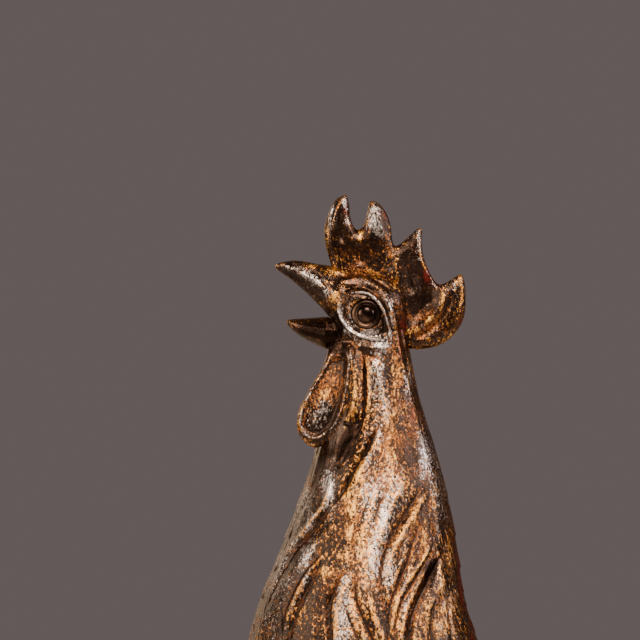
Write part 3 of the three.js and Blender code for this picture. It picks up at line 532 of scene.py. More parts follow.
def head_relief(pixels):
    drawn = carve(pixels, EYELIDS) + carve(pixels, HEAD_LINES) + carve(pixels, THROAT_LINES)
    return drawn + creased(pixels, CREASES)


# Feather cover

FEATHER_WANDER = 0.16  # of a column, from side to side
FEATHER_LENGTH = (1.55, 0.25)  # in rows: the shortest, and what some have more
FEATHER_HALF = 0.68  # of a column
FEATHER_ROOT = 0.25  # height at the root; the tip's is 1


def shingles(across, along, point=0.55, seed=0):
    """Overlapping feathers on a grid with one feather a unit each way. Gives height from 0 to 1 and how far
    each place is from its feather's shaft."""
    best = np.full(len(across), -1.0)
    shaft = np.zeros(len(across))
    for row_back in (0, 1):
        row = np.floor(along) - row_back
        v = along - row
        shift = 0.5 * np.mod(row, 2)
        for beside in (-1, 0, 1):
            column = np.floor(across - shift) + beside
            wander = FEATHER_WANDER * (hashed(row, column, seed) - 0.5)
            u = across - shift - column - 0.5 - wander
            length = FEATHER_LENGTH[0] + FEATHER_LENGTH[1] * hashed(column, row, seed + 3)
            t = np.clip(v / length, 0, 1)
            width = FEATHER_HALF * np.sqrt(np.clip(1 - t**4, 0, 1)) * (1 - point * t**2)
            rim = np.clip(1 - np.abs(u) / np.maximum(width, 1e-3), 0, 1)
            height = (FEATHER_ROOT + (1 - FEATHER_ROOT) * t) * np.sqrt(rim) * (v < length)
            better = height > best
            best = np.where(better, height, best)
            shaft = np.where(better, np.abs(u), shaft)
    return np.maximum(best, 0), shaft


# The trunk bends round a pivot over the back: rows lie level on the neck and fan out below it.
BIRD_Z = EYE[1] - 342.5  # the thighs' seats
PIVOT = (60.0, BIRD_Z + 185.0)
BEND_RADIUS = 100.0
TRUNK_RADII = ([0, 0.8, 1.57, 2.36, 3.14], [92, 113, 92, 72, 62])  # of its middle line, by the angle of bend
ROWS = ([0, 60, 174, 330, 490], [0, 6, 14, 23, 32])  # feather rows, by the distance from the eye
COLUMNS = 11.0  # feathers in half a turn
FEATHER_SIZES = ([30, 80, 160, 330], [0, 0.55, 1.25, 1.5])  # millimetres high, by the distance from the eye
SHAFT = (0.14, 0.07)  # height as a share of the feather's, and half width in columns
STRANDS = (0.1, 4.5)  # height as a share of the feather's, and how many in a column
LOCK_SWING = (0.9, 42)  # columns, and millimetres down the bird for each radian
FLANK = (0.25, 0.7)  # sideways part of the normal between which the photograph's locks come in
LOCKS_END = (610, 760)  # pixels down, between which they give way to feathers
LOCKS_FORWARD = 0.35  # share of their height where the surface faces forwards


def trunk_places(co):
    """Unrolls the trunk: the share of half a turn from front to back, and the distance from the eye."""
    y, z = co[:, 1], co[:, 2]
    drop = PIVOT[1] - z
    bend = np.arctan2(np.maximum(drop, 0), PIVOT[0] - y)
    along = EYE[1] - z
    on_body = drop > 0
    along = np.where(on_body, EYE[1] - PIVOT[1] + BEND_RADIUS * bend, along)
    radius = np.where(on_body, np.hypot(PIVOT[0] - y, drop), PIVOT[0] - y)
    middle = np.interp(bend, *TRUNK_RADII)
    return np.arctan2(np.abs(co[:, 0]), radius - middle) / math.pi, along


def noise(co, size, seed=0.0):
    """Smooth noise from -1 to 1 with lumps about this many millimetres across."""
    shifted = co / size + seed
    return np.array([field.noise(p) for p in shifted.tolist()])


def trunk_relief(co, normals):
    """The feather cover: the photograph's locks on the flanks of the neck, rows of feathers elsewhere."""
    turn, along = trunk_places(co)
    pixels = to_pixels(co)
    flank = ease(np.abs(normals[:, 0]), *FLANK)
    shown = flank * ease(-pixels[:, 1], -LOCKS_END[1], -LOCKS_END[0])
    column = COLUMNS * turn + LOCK_SWING[0] * np.sin(along / LOCK_SWING[1])
    height, shaft = shingles(column, np.interp(along, *ROWS))
    size = np.interp(along, *FEATHER_SIZES)
    feathers = size * (height - 0.5) + SHAFT[0] * size * np.exp(-(shaft / SHAFT[1]) ** 2)
    strands = STRANDS[0] * size * np.cos(2 * math.pi * STRANDS[1] * column)
    drawn = head_relief(pixels) * (LOCKS_FORWARD + (1 - LOCKS_FORWARD) * flank)
    return drawn + feathers * (1 - 0.9 * shown) + strands * (1 - 0.5 * shown)


# The trunk: one skin over body, neck, head and lower beak, parted afterwards, so that the relief runs on

CAST_WALL = 3.6
HALF_GAP = 0.15  # from a seam's middle to the cast face on either side
NECK_SEAM = box_mm("body")[1][2] + HALF_GAP
TAIL_LEAN = math.radians(67)
TAIL_SEAM_NORMAL = (0, math.sin(TAIL_LEAN), math.cos(TAIL_LEAN))
TAIL_SEAM = (105.0, BIRD_Z + 134.0)
JAW_CUT = 329.0  # pixel across, at the mouth's corner
JAW_SPAN = (309.0, 352.0)  # pixels down, above and below the lower beak
MOUTH_CORNER, MOUTH_HALF = (JAW_CUT, 325), (9, 22)  # pixels, where the skin is smoothed as the neck is
SEAM_CUT = 0.25  # taken off at a seam; at the neck's, a plug then joins the two castings
NECK_PLUG = 2.0
BEAK_GROWN = 0.45  # so that the lower beak meets the head
PIN_GROWN = 0.25  # so that pins and screws fill their holes
TRUNK_VOXEL = 1.0
FINENESS = ([0, NECK_SEAM - 60, EYE[1] - 90, EYE[1] - 45, EYE[1] + 70], [1, 1, 1.25, 2.3, 2.3])  # by height
TRUNK_PASSES = 70
HEAD_KEPT = 0.75  # share of the smoothing that the head is spared
WING_MARGIN = 3  # round the wings, where no feather stands up
WING_GROOVE = 0.3


def tail_seam_point(away):
    """A point of the tail's seam, moved that far towards the tail."""
    return (0, TAIL_SEAM[0] + away * TAIL_SEAM_NORMAL[1], TAIL_SEAM[1] + away * TAIL_SEAM_NORMAL[2])


def tail_seam_distance(co):
    """How far in front of the tail's seam each point lies."""
    offset = co[:, 1:] - np.array(TAIL_SEAM)
    return -(offset * np.array(TAIL_SEAM_NORMAL[1:])).sum(1)


def trunk_parts():
    """CAD solids to be wrapped. Pins and screws stop up their holes, so that the hollows stay closed."""
    plugs = [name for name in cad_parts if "_pin" in name]
    parts = [
        solid("body", [((0, 0, NECK_SEAM - SEAM_CUT), (0, 0, 1)), (tail_seam_point(-0.1), TAIL_SEAM_NORMAL)]),
        solid("head_and_neck", [((0, 0, NECK_SEAM + SEAM_CUT), (0, 0, -1))], plug=NECK_PLUG),
        solid("lower_beak", grown=BEAK_GROWN),
        *[solid(name, grown=PIN_GROWN) for name in plugs],
    ]
    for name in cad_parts:
        if "wing_screw" in name:
            low, high = box_mm(name)
            inner = low[0] if low[0] > 0 else high[0]
            cut = (inner + math.copysign(CAST_WALL - 0.1, inner), 0, 0)
            parts.append(solid(name, [(cut, (math.copysign(1, inner), 0, 0))], grown=PIN_GROWN))
    return parts


def trunk():
    """The skin over body, neck, head and lower beak in one, smoothed, feathered and described."""
    sculpt = remeshed("trunk", trunk_parts(), TRUNK_VOXEL, Grade(EYE[0], *FINENESS))
    pixels = to_pixels(sculpt.co)
    by_mouth = np.exp(-(((pixels - MOUTH_CORNER) / MOUTH_HALF) ** 2).sum(1))
    on_head = ease(sculpt.co[:, 2], EYE[1] - 45, EYE[1] - 15) * (1 - by_mouth)
    by_tail = ease(tail_seam_distance(sculpt.co), 0.5, 6)
    sculpt.smooth(TRUNK_PASSES, (1 - HEAD_KEPT * on_head) * by_tail)
    normals = sculpt.normals()
    wings = distance_to(sculpt.co, ["left_wing", "right_wing"], 5)
    pins = distance_to(sculpt.co, [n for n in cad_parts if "_pin" in n], 4)
    feet = ease(sculpt.co[:, 2], BIRD_Z + 2, BIRD_Z + 14)
    rise = trunk_relief(sculpt.co, normals)
    groove = WING_GROOVE * ease(WING_MARGIN - wings, 0, 2.5)
    rise = np.where(wings < WING_MARGIN, np.minimum(rise, 0) - groove, rise)
    sculpt.push(rise * ease(tail_seam_distance(sculpt.co), 0, 12) * feet * ease(pins, 0.6, 3.5), normals)
    sculpt.smooth(1, 0.8)
    # Painted highlight along the eyelids, as bare pale metal; painted shade in the deep creases: a darker,
    # smoother skin with less bare metal, partly the patina of the hollows.
    lids = carve(pixels, EYELIDS)
    clefts = np.clip(-creased(pixels, CREASES), 0, 2)
    painted(sculpt, polish=0.85 * lids - 0.2 * clefts, gilding=-0.25 * lids, soot=0.42 * clefts - 0.4 * lids)
    return described(sculpt)


def place_trunk():
    """Puts the trunk's three skins in the scene. Gives a search tree of its surface from the throat up."""
    whole = trunk()
    lowest = (EYE[1] - 75) * MM
    above = [p.vertices[:] for p in whole.polygons if whole.vertices[p.vertices[0]].co.z > lowest]
    surface = BVHTree.FromPolygons([v.co[:] for v in whole.vertices], above)
    jaw_y = from_pixels([(JAW_CUT, 0)])[0][0]
    jaw_z = from_pixels([(0, down) for down in JAW_SPAN])[:, 1]

    def near_jaw(p):
        return abs(p.y - jaw_y) < 3 and jaw_z[1] < p.z < jaw_z[0]

    def in_jaw(p):
        return p.y < jaw_y and jaw_z[1] < p.z < jaw_z[0]

    beak, rest = parted(whole, "lower_beak", [((0, jaw_y, 0), (0, 1, 0), near_jaw)], in_jaw)
    seam = ((0, 0, NECK_SEAM), (0, 0, 1), lambda p: abs(p.z - NECK_SEAM) < 4)
    neck, body = parted(rest, "head_and_neck", [seam], lambda p: p.z > NECK_SEAM)
    for skin, node in ((beak, "lower_beak"), (neck, "head_and_neck"), (body, "body")):
        placed(skin, f"{node}_skin", node, bronze)
    return surface


def reach_out(surface, co, sign):
    """How far out from the middle plane the trunk's surface lies at each point's y and z, in millimetres."""
    reach = np.zeros(len(co))
    for i, (_, y, z) in enumerate((co * MM).tolist()):
        hit = surface.ray_cast(Vector((sign * 0.2, y, z)), Vector((-sign, 0, 0)))[0]
        if hit is not None and hit.x * sign > 0:
            reach[i] = hit.x * sign / MM
    return reach


# Comb and wattles: flat slabs with a drawn outline, swelled

def plate(name, outline, half, voxel):
    """An even mesh of a slab with this outline of pixels. x runs from -half to half."""
    bm = bmesh.new()
    loop = spline([*outline, outline[0]], 2)[:-1]
    corners = [bm.verts.new((-half * MM, y * MM, z * MM)) for y, z in from_pixels(loop)]
    face = bm.faces.new(corners)
    made = bmesh.ops.extrude_face_region(bm, geom=[face])["geom"]
    for v in made:
        if isinstance(v, bmesh.types.BMVert):
            v.co.x = half * MM
    bmesh.ops.recalc_face_normals(bm, faces=bm.faces)
    bmesh.ops.triangulate(bm, faces=bm.faces)
    return remeshed(name, [bm], voxel)


def rim_distance(pixels, outline):
    """Millimetres from each pixel to a closed outline."""
    loop = spline([*outline, outline[0]], 2)
    return to_line(pixels, loop)[0] * PIXEL


def swell(distance, reach, edge):
    """From edge at a rim up to 1 at that distance from it, round in between."""
    t = 1 - np.clip(distance / reach, 0, 1)
    return edge + (1 - edge) * np.sqrt(1 - t * t)


DETAIL_VOXEL = 0.42
COMB_HALF = 4.3
COMB_EDGE = (6.0, 0.12)  # how far in from its outline the comb swells, and its thickness at the outline
COMB_OUTLINE = [
    # front spike
    (332, 268), (328, 254.6), (325, 241.4), (324.2, 229.8), (326.2, 219.8), (329.8, 209.9), (335, 200.7),
    (340, 197), (346, 195.3), (348.4, 201.6), (349.4, 208.2), (350.2, 216.5), (353, 225.4), (356.1, 229.4),
    # second spike
    (359.4, 229.4), (363.3, 226), (366, 218), (367.4, 209.9), (369, 203.2), (372.9, 200.7), (379.3, 204),
    (384.3, 209.9), (388.4, 218), (390.9, 228), (391.9, 238), (394.2, 245.5),
    # third spike
    (399.2, 244.5), (405.8, 239.2), (412.5, 233), (417.4, 228.6), (420.3, 228), (422, 231.4), (422, 238),
    (422.2, 246.3), (424, 258), (427.4, 267.9), (432.4, 277.5), (438.6, 284.3),
    # lobe behind
    (445.6, 282.8), (453.9, 277.8), (460.6, 274.4), (463.3, 277.8), (465.2, 286), (465.6, 296),
    (465.2, 309.3), (463.6, 318), (458.5, 329), (450, 338.6), (439, 345.4), (427.4, 348.7), (415.8, 349.4),
    (406, 347), (398, 336), (392, 318), (386, 304), (374, 294), (356, 288), (338, 284),
]
COMB_LINES = [
    (0.9, 1.7, [(345, 196), (339.5, 203.4), (336, 211.4), (334, 221), (333.5, 234)]),
    (-0.5, 1.4, [(338, 200), (333, 211), (330.5, 223)]),
    (-0.7, 3.0, [(343, 206), (340, 217), (340, 230), (343, 244)]),
    (0.5, 2.4, [(346, 206), (346.5, 216), (348.5, 226), (352, 236)]),
    (0.6, 4.0, [(374, 204), (377, 216), (379, 230), (379, 242)]),
    (-0.6, 2.4, [(385, 214), (387, 226), (387, 238)]),
    (-0.7, 4.5, [(357, 242), (359, 254), (362, 266)]),
    (0.4, 2.6, [(396, 246), (396, 258), (397, 272), (400, 284)]),
    (-0.7, 3.0, [(388, 246), (390, 258), (391, 272)]),
    (-0.8, 4.0, [(406, 250), (407, 264), (409, 280), (413, 296)]),
    (0.9, 2.6, [(420, 230), (420, 242), (421, 254), (425, 266), (431, 277), (438, 286)]),
    (-1.9, 7.0, [(416, 262), (420, 276), (425, 290), (424, 304), (416, 316), (408, 322)]),
    (-0.9, 4.0, [(430, 286), (433, 298), (428, 308)]),
    (1.3, 3.0, [(441, 286), (443.5, 296), (440, 306), (431, 317.5), (421, 326), (411, 332)]),
    (-0.9, 3.2, [(450, 290), (450, 302), (444, 314), (434, 326), (422, 335), (410, 340)]),
    (0.7, 3.0, [(461, 279), (462, 292), (460, 308), (454, 322)]),
]


def comb():
    """A slab that swells from its outline inwards, with lines drawn on both sides."""
    sculpt = plate("comb", COMB_OUTLINE, COMB_HALF, DETAIL_VOXEL)
    pixels = to_pixels(sculpt.co)
    side = sculpt.co[:, 0] / COMB_HALF
    half = COMB_HALF * swell(rim_distance(pixels, COMB_OUTLINE), *COMB_EDGE)
    sculpt.co[:, 0] = side * (half + carve(pixels, COMB_LINES) * ease(half, 1.0, 3.0))
    sculpt.smooth(8)
    bronzed(sculpt, "comb_skin", "comb")


WATTLE_OUTLINE = [
    (331, 334), (326.5, 356), (320.5, 370), (313.5, 382), (307, 394), (301, 405), (297.6, 415), (297, 425),
    (299, 433.5), (303.4, 440.5), (309, 445), (315.6, 447.3), (323, 444.5), (331, 437.5), (339, 426),
    (345, 412), (349.5, 396), (351.5, 378), (352.5, 358), (352, 334),
]
WATTLE_RIM = [
    (334, 336), (328.6, 358), (322, 371), (315, 383), (308.5, 395), (303, 406), (300.4, 415), (300.2, 424),
    (303, 431.5), (308, 436), (314, 437.6), (322, 435.3), (331.4, 427), (339, 414), (344, 399), (347.2, 379),
    (349.3, 352), (349, 338),
]
WATTLE_SIDES = (  # how far from the middle plane it hangs, by pixel down
    [334, 345, 356, 368, 385, 402, 420, 440],
    [3.5, 6.5, 8.4, 9.7, 11.2, 12.2, 12.4, 11.8],
)
WATTLE_HALF = 3.5
WATTLE_EDGE = (5.0, 0.25)
WATTLE_PROUD = 1.8  # over the throat behind it
WATTLE_ROOT = (340, 356)  # pixels down, between which it comes out of the cheek
DISH_TOP = (345, 366)  # pixels down, between which its dish and rim come in
DISH_DEPTH, DISH_SLOPE = 1.3, (0.1, 2.6)
RIM_HEIGHT, RIM_HALF = 0.4, 0.5


def wattle(sign, name, throat):
    """A dished slab with a rim, hung outwards so that it clears the throat's surface."""
    sculpt = plate(name, WATTLE_OUTLINE, WATTLE_HALF, DETAIL_VOXEL)
    pixels = to_pixels(sculpt.co)
    side = sculpt.co[:, 0] / WATTLE_HALF
    body = WATTLE_HALF * swell(rim_distance(pixels, WATTLE_OUTLINE), *WATTLE_EDGE)
    distance = rim_distance(pixels, WATTLE_RIM)
    below_beak = ease(pixels[:, 1], *DISH_TOP)
    rim = below_beak * np.exp(-(distance / RIM_HALF) ** 2)
    dish = below_beak * ease(distance, *DISH_SLOPE) * inside(pixels, np.array(WATTLE_RIM))
    outer = body + RIM_HEIGHT * rim - DISH_DEPTH * dish
    middle = np.interp(pixels[:, 1], *WATTLE_SIDES)
    offset = np.where(side > 0, side * outer, side * 0.7 * body)
    under = reach_out(throat, sculpt.co, sign)
    proud = WATTLE_PROUD * ease(pixels[:, 1], *WATTLE_ROOT) + outer - WATTLE_HALF
    lifted = np.maximum(middle + offset, np.where(under > 0, under + proud, 0))
    sculpt.co[:, 0] = sign * np.where(side > 0.3, lifted, middle + offset)
    if sign < 0:
        sculpt.mesh.flip_normals()
    sculpt.smooth(4)
    # Painted highlight along the rim: a thin line of bare pale metal, with less gilding.
    bronzed(sculpt, name, name, gilding=-0.5 * rim, polish=0.3 * rim)


# Eyes

EYE_PROFILE = [  # (radius, height over the seat)
    (0.0, -5.0), (1.8, -5.0), (1.8, 0.0), (7.4, 0.0), (7.42, 0.3), (7.2, 0.5), (6.9, 0.72), (6.5, 0.98),
    (6.0, 1.14), (5.6, 1.06), (5.25, 0.82), (5.0, 0.7), (4.8, 0.78), (4.65, 1.0), (4.4, 1.6), (4.0, 2.15),
    (3.4, 2.65), (2.5, 3.05), (1.3, 3.3), (0.0, 3.36),
]
EYE_STUB = 3  # points of the profile that stay sharp
EYE_SEAT = 14.5
EYE_SIDES = 72
PUPIL_RADIUS = 4.7


def eye(sign, name):
    """The profile turned round the eye's middle."""
    profile = np.vstack([EYE_PROFILE[:EYE_STUB], spline(EYE_PROFILE[EYE_STUB:], 0.2)])
    profile[-1, 0] = 0
    turn = turns(EYE_SIDES)
    circle = np.stack([np.cos(turn), np.sin(turn)], 1)
    bm = bmesh.new()
    rings = []
    for radius, height in profile:
        x = sign * (EYE_SEAT + height)
        if radius < 1e-6:
            rings.append([bm.verts.new((x, *EYE))] * EYE_SIDES)
        else:
            rings.append([bm.verts.new((x, *p)) for p in EYE + radius * circle])
    for lower, upper in zip(rings, rings[1:]):
        for k in range(EYE_SIDES):
            beside = (k + 1) % EYE_SIDES
            corners = [lower[k], lower[beside], upper[beside], upper[k]]
            bm.faces.new(list(dict.fromkeys(corners)))
    bmesh.ops.scale(bm, verts=bm.verts, vec=(MM, MM, MM))
    bmesh.ops.recalc_face_normals(bm, faces=bm.faces)
    sculpt = Sculpt(mesh_of(name, bm))
    from_middle = sculpt.co[:, 1:] - EYE
    radius = np.hypot(*from_middle.T)
    sculpt.attribute("pupil", ease(-radius, -PUPIL_RADIUS, -PUPIL_RADIUS + 0.4))
    # Painted shadow of the upper lid: the eye is darkened towards its top and back.
    lid_shadow = ease(from_middle.sum(1) / np.maximum(radius, 0.1), -1.0, 0.9)
    sculpt.attribute("soot", lid_shadow)
    placed(sculpt.mesh, name + "_ringed", name, eye_metal)


# Wings

# The wing's upper edge and its front: y, and height over the seats
WING_TOP = [(-54, 141), (-20, 138), (20, 131), (60, 122), (103, 112)]
WING_FRONT = (-74.0, 118.0)
COVERT_EDGE = ([86, 93, 104, 116, 131, 141], [-36, -18, -2, 8, 13, 2])  # y by height over the seats
COVERT = (12.5, 11.5)  # width and length
COVERT_HEIGHT = 1.7
COVERT_BOW = (0.004, 116)  # how much its rows bow, and the height over the seats where they don't
FLIGHT_WIDTH = 7.6
FLIGHT_SPREAD = 0.10  # of the flight feathers, for each millimetre from the wing's front
FLIGHT_HEIGHT = 1.1
BARB_PITCH = 2.6
WING_SHAFT, SHAFT_AT = 0.07, 0.45  # half width, and place across a flight feather, in feather widths


def wing(name):
    """Rows of small coverts on the shoulder, and long flight feathers that spread from its front."""
    sculpt = remeshed(name, [solid(name)], 0.75)
    sculpt.smooth(8)
    normals = sculpt.normals()
    outer = ease(normals[:, 0] * np.sign(sculpt.co[:, 0]), 0.2, 0.6)
    place = sculpt.co[:, 1:] - np.array([0, BIRD_Z])
    top = spline(WING_TOP, 4)
    below = to_line(place, top)[0]
    out = place - np.array(WING_FRONT)
    reach = np.hypot(out[:, 0], out[:, 1])
    is_covert = ease(np.interp(place[:, 1], *COVERT_EDGE) - place[:, 0], -0.5, 0.5)
    bow = COVERT_BOW[0] * (place[:, 1] - COVERT_BOW[1]) ** 2
    height, shaft = shingles(place[:, 1] / COVERT[0], (out[:, 0] + bow) / COVERT[1] + 40, 0.12, 5)
    coverts = COVERT_HEIGHT * (height - 0.35) + 0.25 * np.exp(-(shaft / WING_SHAFT) ** 2)
    lane = (below + FLIGHT_SPREAD * reach) / FLIGHT_WIDTH
    across = lane - np.floor(lane)
    from_shaft = across - SHAFT_AT
    vane = FLIGHT_HEIGHT * (across ** 1.6 - 0.5) + 0.35 * np.exp(-(from_shaft / WING_SHAFT) ** 2)
    barbs = 0.10 * np.cos(2 * math.pi * (reach / BARB_PITCH + np.abs(from_shaft) * 2.2))
    screws = distance_to(sculpt.co, [f"{name}_screw_front", f"{name}_screw_rear"], 4)
    rise = outer * (is_covert * coverts + (1 - is_covert) * (vane + barbs)) * ease(screws, 0.6, 3)
    sculpt.push(rise, normals)
    sculpt.smooth(1, 0.7)
    bronzed(sculpt, name + "_skin", name)


# Tail

TAIL_ROOT = (111.6, BIRD_Z + 141.4)
TAIL_LENGTH, TAIL_RISE = 150.0, 274.0
LAYER_PITCH, LAYER_SPREAD = 4.8, 0.006
ROOT_FEATHER = 11  # width and length of the root's small feathers
FEATHER_WIDTHS = ([0, 0.2, 0.4, 0.6, 0.8, 1], [0.45, 0.8, 1, 0.95, 0.75, 0.06])
FEATHER_HALF_THICKNESS = 1.5
FEATHER_SIDES = 44
NOTCHES = 7  # in each feather's edges
VANE_SHAFT = (0.75, 0.085)  # height, and half width as a share of the feather's
VANE_BARBS = (0.16, 3.1)  # height and pitch
FEATHERS = {  # half width, root offset, then three points in shares of the tail's length and rise
    "top_feather": (11, (0, 13), (0.04, 0.39), (0.16, 0.59), (0.61, 0.61)),
    "main_sickle": (13, (1, 9), (0.06, 0.61), (0.94, 1), (0.99, 0)),
    "second_sickle": (12, (0, 6), (0.16, 0.5), (0.83, 0.74), (0.84, -0.08)),
    "third_sickle": (11.5, (-1, 3), (0.25, 0.38), (0.71, 0.53), (0.69, -0.13)),
    "long_covert": (10.5, (-3, 0), (0.26, 0.26), (0.59, 0.32), (0.54, -0.15)),
    "short_covert": (9, (-5, -3), (0.22, 0.12), (0.43, 0.14), (0.38, -0.15)),
}


def feather_curve(offset, *points):
    """Points set evenly along a feather's middle line, and how far from its root each lies."""
    root = np.array(TAIL_ROOT) + offset
    a, b, c, d = root, *[root + np.array(p) * (TAIL_LENGTH, TAIL_RISE) for p in points]
    t = np.linspace(0, 1, 600)[:, None]
    run = a * (1 - t)**3 + 3 * b * t * (1 - t)**2 + 3 * c * t**2 * (1 - t) + d * t**3
    length = np.concatenate([[0], np.cumsum(np.linalg.norm(np.diff(run, axis=0), axis=1))])
    even = np.linspace(0, length[-1], int(length[-1] / 0.8))
    line = np.stack([np.interp(even, length, run[:, k]) for k in (0, 1)], 1)
    return line, even


def notches(across, along, length, layer):
    """How far a feather's edges are notched at each place, as a share of its half width."""
    notch = np.zeros_like(across)
    for k, at in enumerate(hashed(np.arange(NOTCHES) + layer * 11, np.arange(NOTCHES)) * 0.75 + 0.15):
        edge = across if k % 2 else -across
        lean = along - at * length + 5 * np.abs(across)
        notch += (edge > 0.35) * 0.16 * np.exp(-(lean / 1.3) ** 2) * ease(edge, 0.35, 1)
    return notch


def tail_feather(kind, layer, sign, name):
    """A blade along a curve, with a shaft, slanting barbs and notched edges on both faces."""
    half, offset, *points = FEATHERS[kind]
    line, along = feather_curve(offset, *points)
    share = along / along[-1]
    ahead = np.gradient(line, axis=0)
    ahead /= np.linalg.norm(ahead, axis=1)[:, None]
    out = np.stack([-ahead[:, 1], ahead[:, 0]], 1)
    width = half * np.interp(share, *FEATHER_WIDTHS)
    thick = FEATHER_HALF_THICKNESS * np.interp(share, [0, 0.8, 1], [1, 1, 0.35])
    from_root = np.hypot(*(line - line[0]).T)
    side = layer * LAYER_PITCH * (1 + LAYER_SPREAD * from_root)
    a, s = np.meshgrid(turns(FEATHER_SIDES), along, indexing="xy")
    u = np.cos(a)
    notch = notches(u, s, along[-1], layer)
    wave = 2 * math.pi * (s - 7 * np.abs(u)) / VANE_BARBS[1]
    barbs = VANE_BARBS[0] * np.cos(wave) * ease(np.abs(u), 0.08, 0.3)
    shaft = VANE_SHAFT[0] * np.exp(-(u / VANE_SHAFT[1]) ** 2) * (1 - 0.6 * share[:, None])
    body = thick[:, None] * np.sign(np.sin(a)) * np.abs(np.sin(a)) ** 0.8
    fade = ease(s, 18, 32) * ease(along[-1] - s, 2, 14)
    raised = (shaft * ease(s, 14, 24) + barbs * fade) * (np.abs(u) < 0.97)
    x = side[:, None] + body + np.sign(np.sin(a)) * raised
    w = width[:, None] * u * (1 - notch * fade)
    y = line[:, :1] + out[:, :1] * w
    z = line[:, 1:] + out[:, 1:] * w
    co = np.stack([sign * x, y, z], -1) * MM
    bronzed(tube(name, co.tolist(), split_ends=True), name + "_vaned", name)


def tail_root():
    """The block that holds the feathers, with small feathers on its flanks."""
    forwards = (0, -TAIL_SEAM_NORMAL[1], -TAIL_SEAM_NORMAL[2])
    sculpt = remeshed("tail_root", [solid("tail_root", [(tail_seam_point(SEAM_CUT), forwards)])], 0.8)
    sculpt.smooth(12, ease(-tail_seam_distance(sculpt.co), 0.6, 4))
    normals = sculpt.normals()
    flank = ease(np.abs(normals[:, 0]), 0.2, 0.6)
    from_seam = -tail_seam_distance(sculpt.co)
    height, _ = shingles(sculpt.co[:, 2] / ROOT_FEATHER, from_seam / ROOT_FEATHER + 0.2, 0.5, 9)
    sculpt.push(flank * (1.1 * (height - 0.4)) * ease(from_seam, 0.5, 5), normals)
    sculpt.smooth(1)
    bronzed(sculpt, "tail_root_skin", "tail_root")


def tail():
    for layer, kind in enumerate(FEATHERS):
        sides = [(1, kind)] if layer == 0 else [(1, f"left_{kind}"), (-1, f"right_{kind}")]
        for sign, name in sides:
            tail_feather(kind, layer, sign, name)
    tail_root()


# Legs

LEG_SPREAD, FOOT_Y, LEG_FOOT = 29.0, 2.0, 16.3  # the middle of a foot's underside, without its side's sign
LEG_HEIGHT = 92
LEG_LEAN = 0.18  # backwards, for each millimetre up
SHANK_SCUTE = 4.6  # height of the plates down the shank's front
SHANK_SCALE = (1.9, 3.6)  # of the net behind: scales in a radian, and height
TOE_SCUTE = 4.4


def leg(sign, name):
    """Scutes down the shank's front, a net of scales behind, and scutes over the toes."""
    sculpt = remeshed(name, [solid(name)], 0.55)
    sculpt.smooth(20)
    normals = sculpt.normals()
    co = sculpt.co - np.array([sign * LEG_SPREAD, FOOT_Y, LEG_FOOT])
    on_shank = ease(co[:, 2], 13, 18) * ease(LEG_HEIGHT - co[:, 2], 0, 3)
    around = np.arctan2(co[:, 0], -(co[:, 1] - LEG_LEAN * co[:, 2]))
    front = ease(np.cos(around), -0.3, 0.3)
    scute = 0.8 * (1 - np.mod(co[:, 2] / SHANK_SCUTE, 1)) ** 0.7 - 0.35
    net, _ = shingles(around * SHANK_SCALE[0], -co[:, 2] / SHANK_SCALE[1] + 60, 0.2, 3)
    rise = on_shank * (front * scute + (1 - front) * 0.6 * (net - 0.5))
    reach = np.hypot(co[:, 0], co[:, 1])
    along_toe = ease(reach, 6, 10) * ease(33 - reach, 0, 4)
    on_toe = ease(14 - co[:, 2], 0, 5) * along_toe * ease(normals[:, 2], 0, 0.4)
    rise += on_toe * (0.5 * (1 - np.mod(reach / TOE_SCUTE, 1)) ** 0.7 - 0.2)
    sculpt.push(rise * ease(co[:, 2], 0.2, 1.2), normals)
    sculpt.smooth(1, 0.6)
    bronzed(sculpt, name + "_scaled", name)


# Base and felt

BASE_HALF = (71.0, 103.0)
BASE_FLOOR, BASE_TOP = 1.5, 16.0
MOULDING = [(0.8, 0), (0.1, 0.8), (0.0, 2.6), (0.2, 4.4), (1.0, 5.0)]  # (inset, height over the floor)
COVE = [(2.1, 5.1), (2.0, 7.6), (3.0, 10.6), (5.2, 13.2), (8.6, 14.4)]
TOP_INSETS = [*np.arange(9.2, 70, 0.9), 70.6]
UNDER_INSETS = (70.6, 60, 30, 8, 2)
GROUND_LUMPS = ((0.9, 15, 3.1), (0.5, 6, 8.2), (0.22, 2.4, 1.7))  # (height, size, seed)
FOOT_CLEAR = (30, 50)  # from a foot's middle, between which the ground may rise
FELT_EDGE = [(5.5, 0.12), (5.1, 0.4), (5.0, 0.7), (5.2, 1.05), (5.8, 1.2)]  # (inset, height)
FELT_TOP = 1.2


def oval(name, profile, sides, relief):
    """A closed oval form. The profile gives (inset from the base's edge, height), from the middle of the
    underside to the middle of the top; relief moves the points."""
    turn = turns(sides)
    inset, height = np.array(profile, float).T
    reach = 1 - inset / BASE_HALF[0]
    x = BASE_HALF[0] * reach[:, None] * np.cos(turn)
    y = BASE_HALF[1] * reach[:, None] * np.sin(turn)
    z = np.broadcast_to(height[:, None], x.shape)
    co = relief(np.stack([x, y, z], -1).reshape(-1, 3))
    return tube(name, (co.reshape(*x.shape, 3) * MM).tolist())


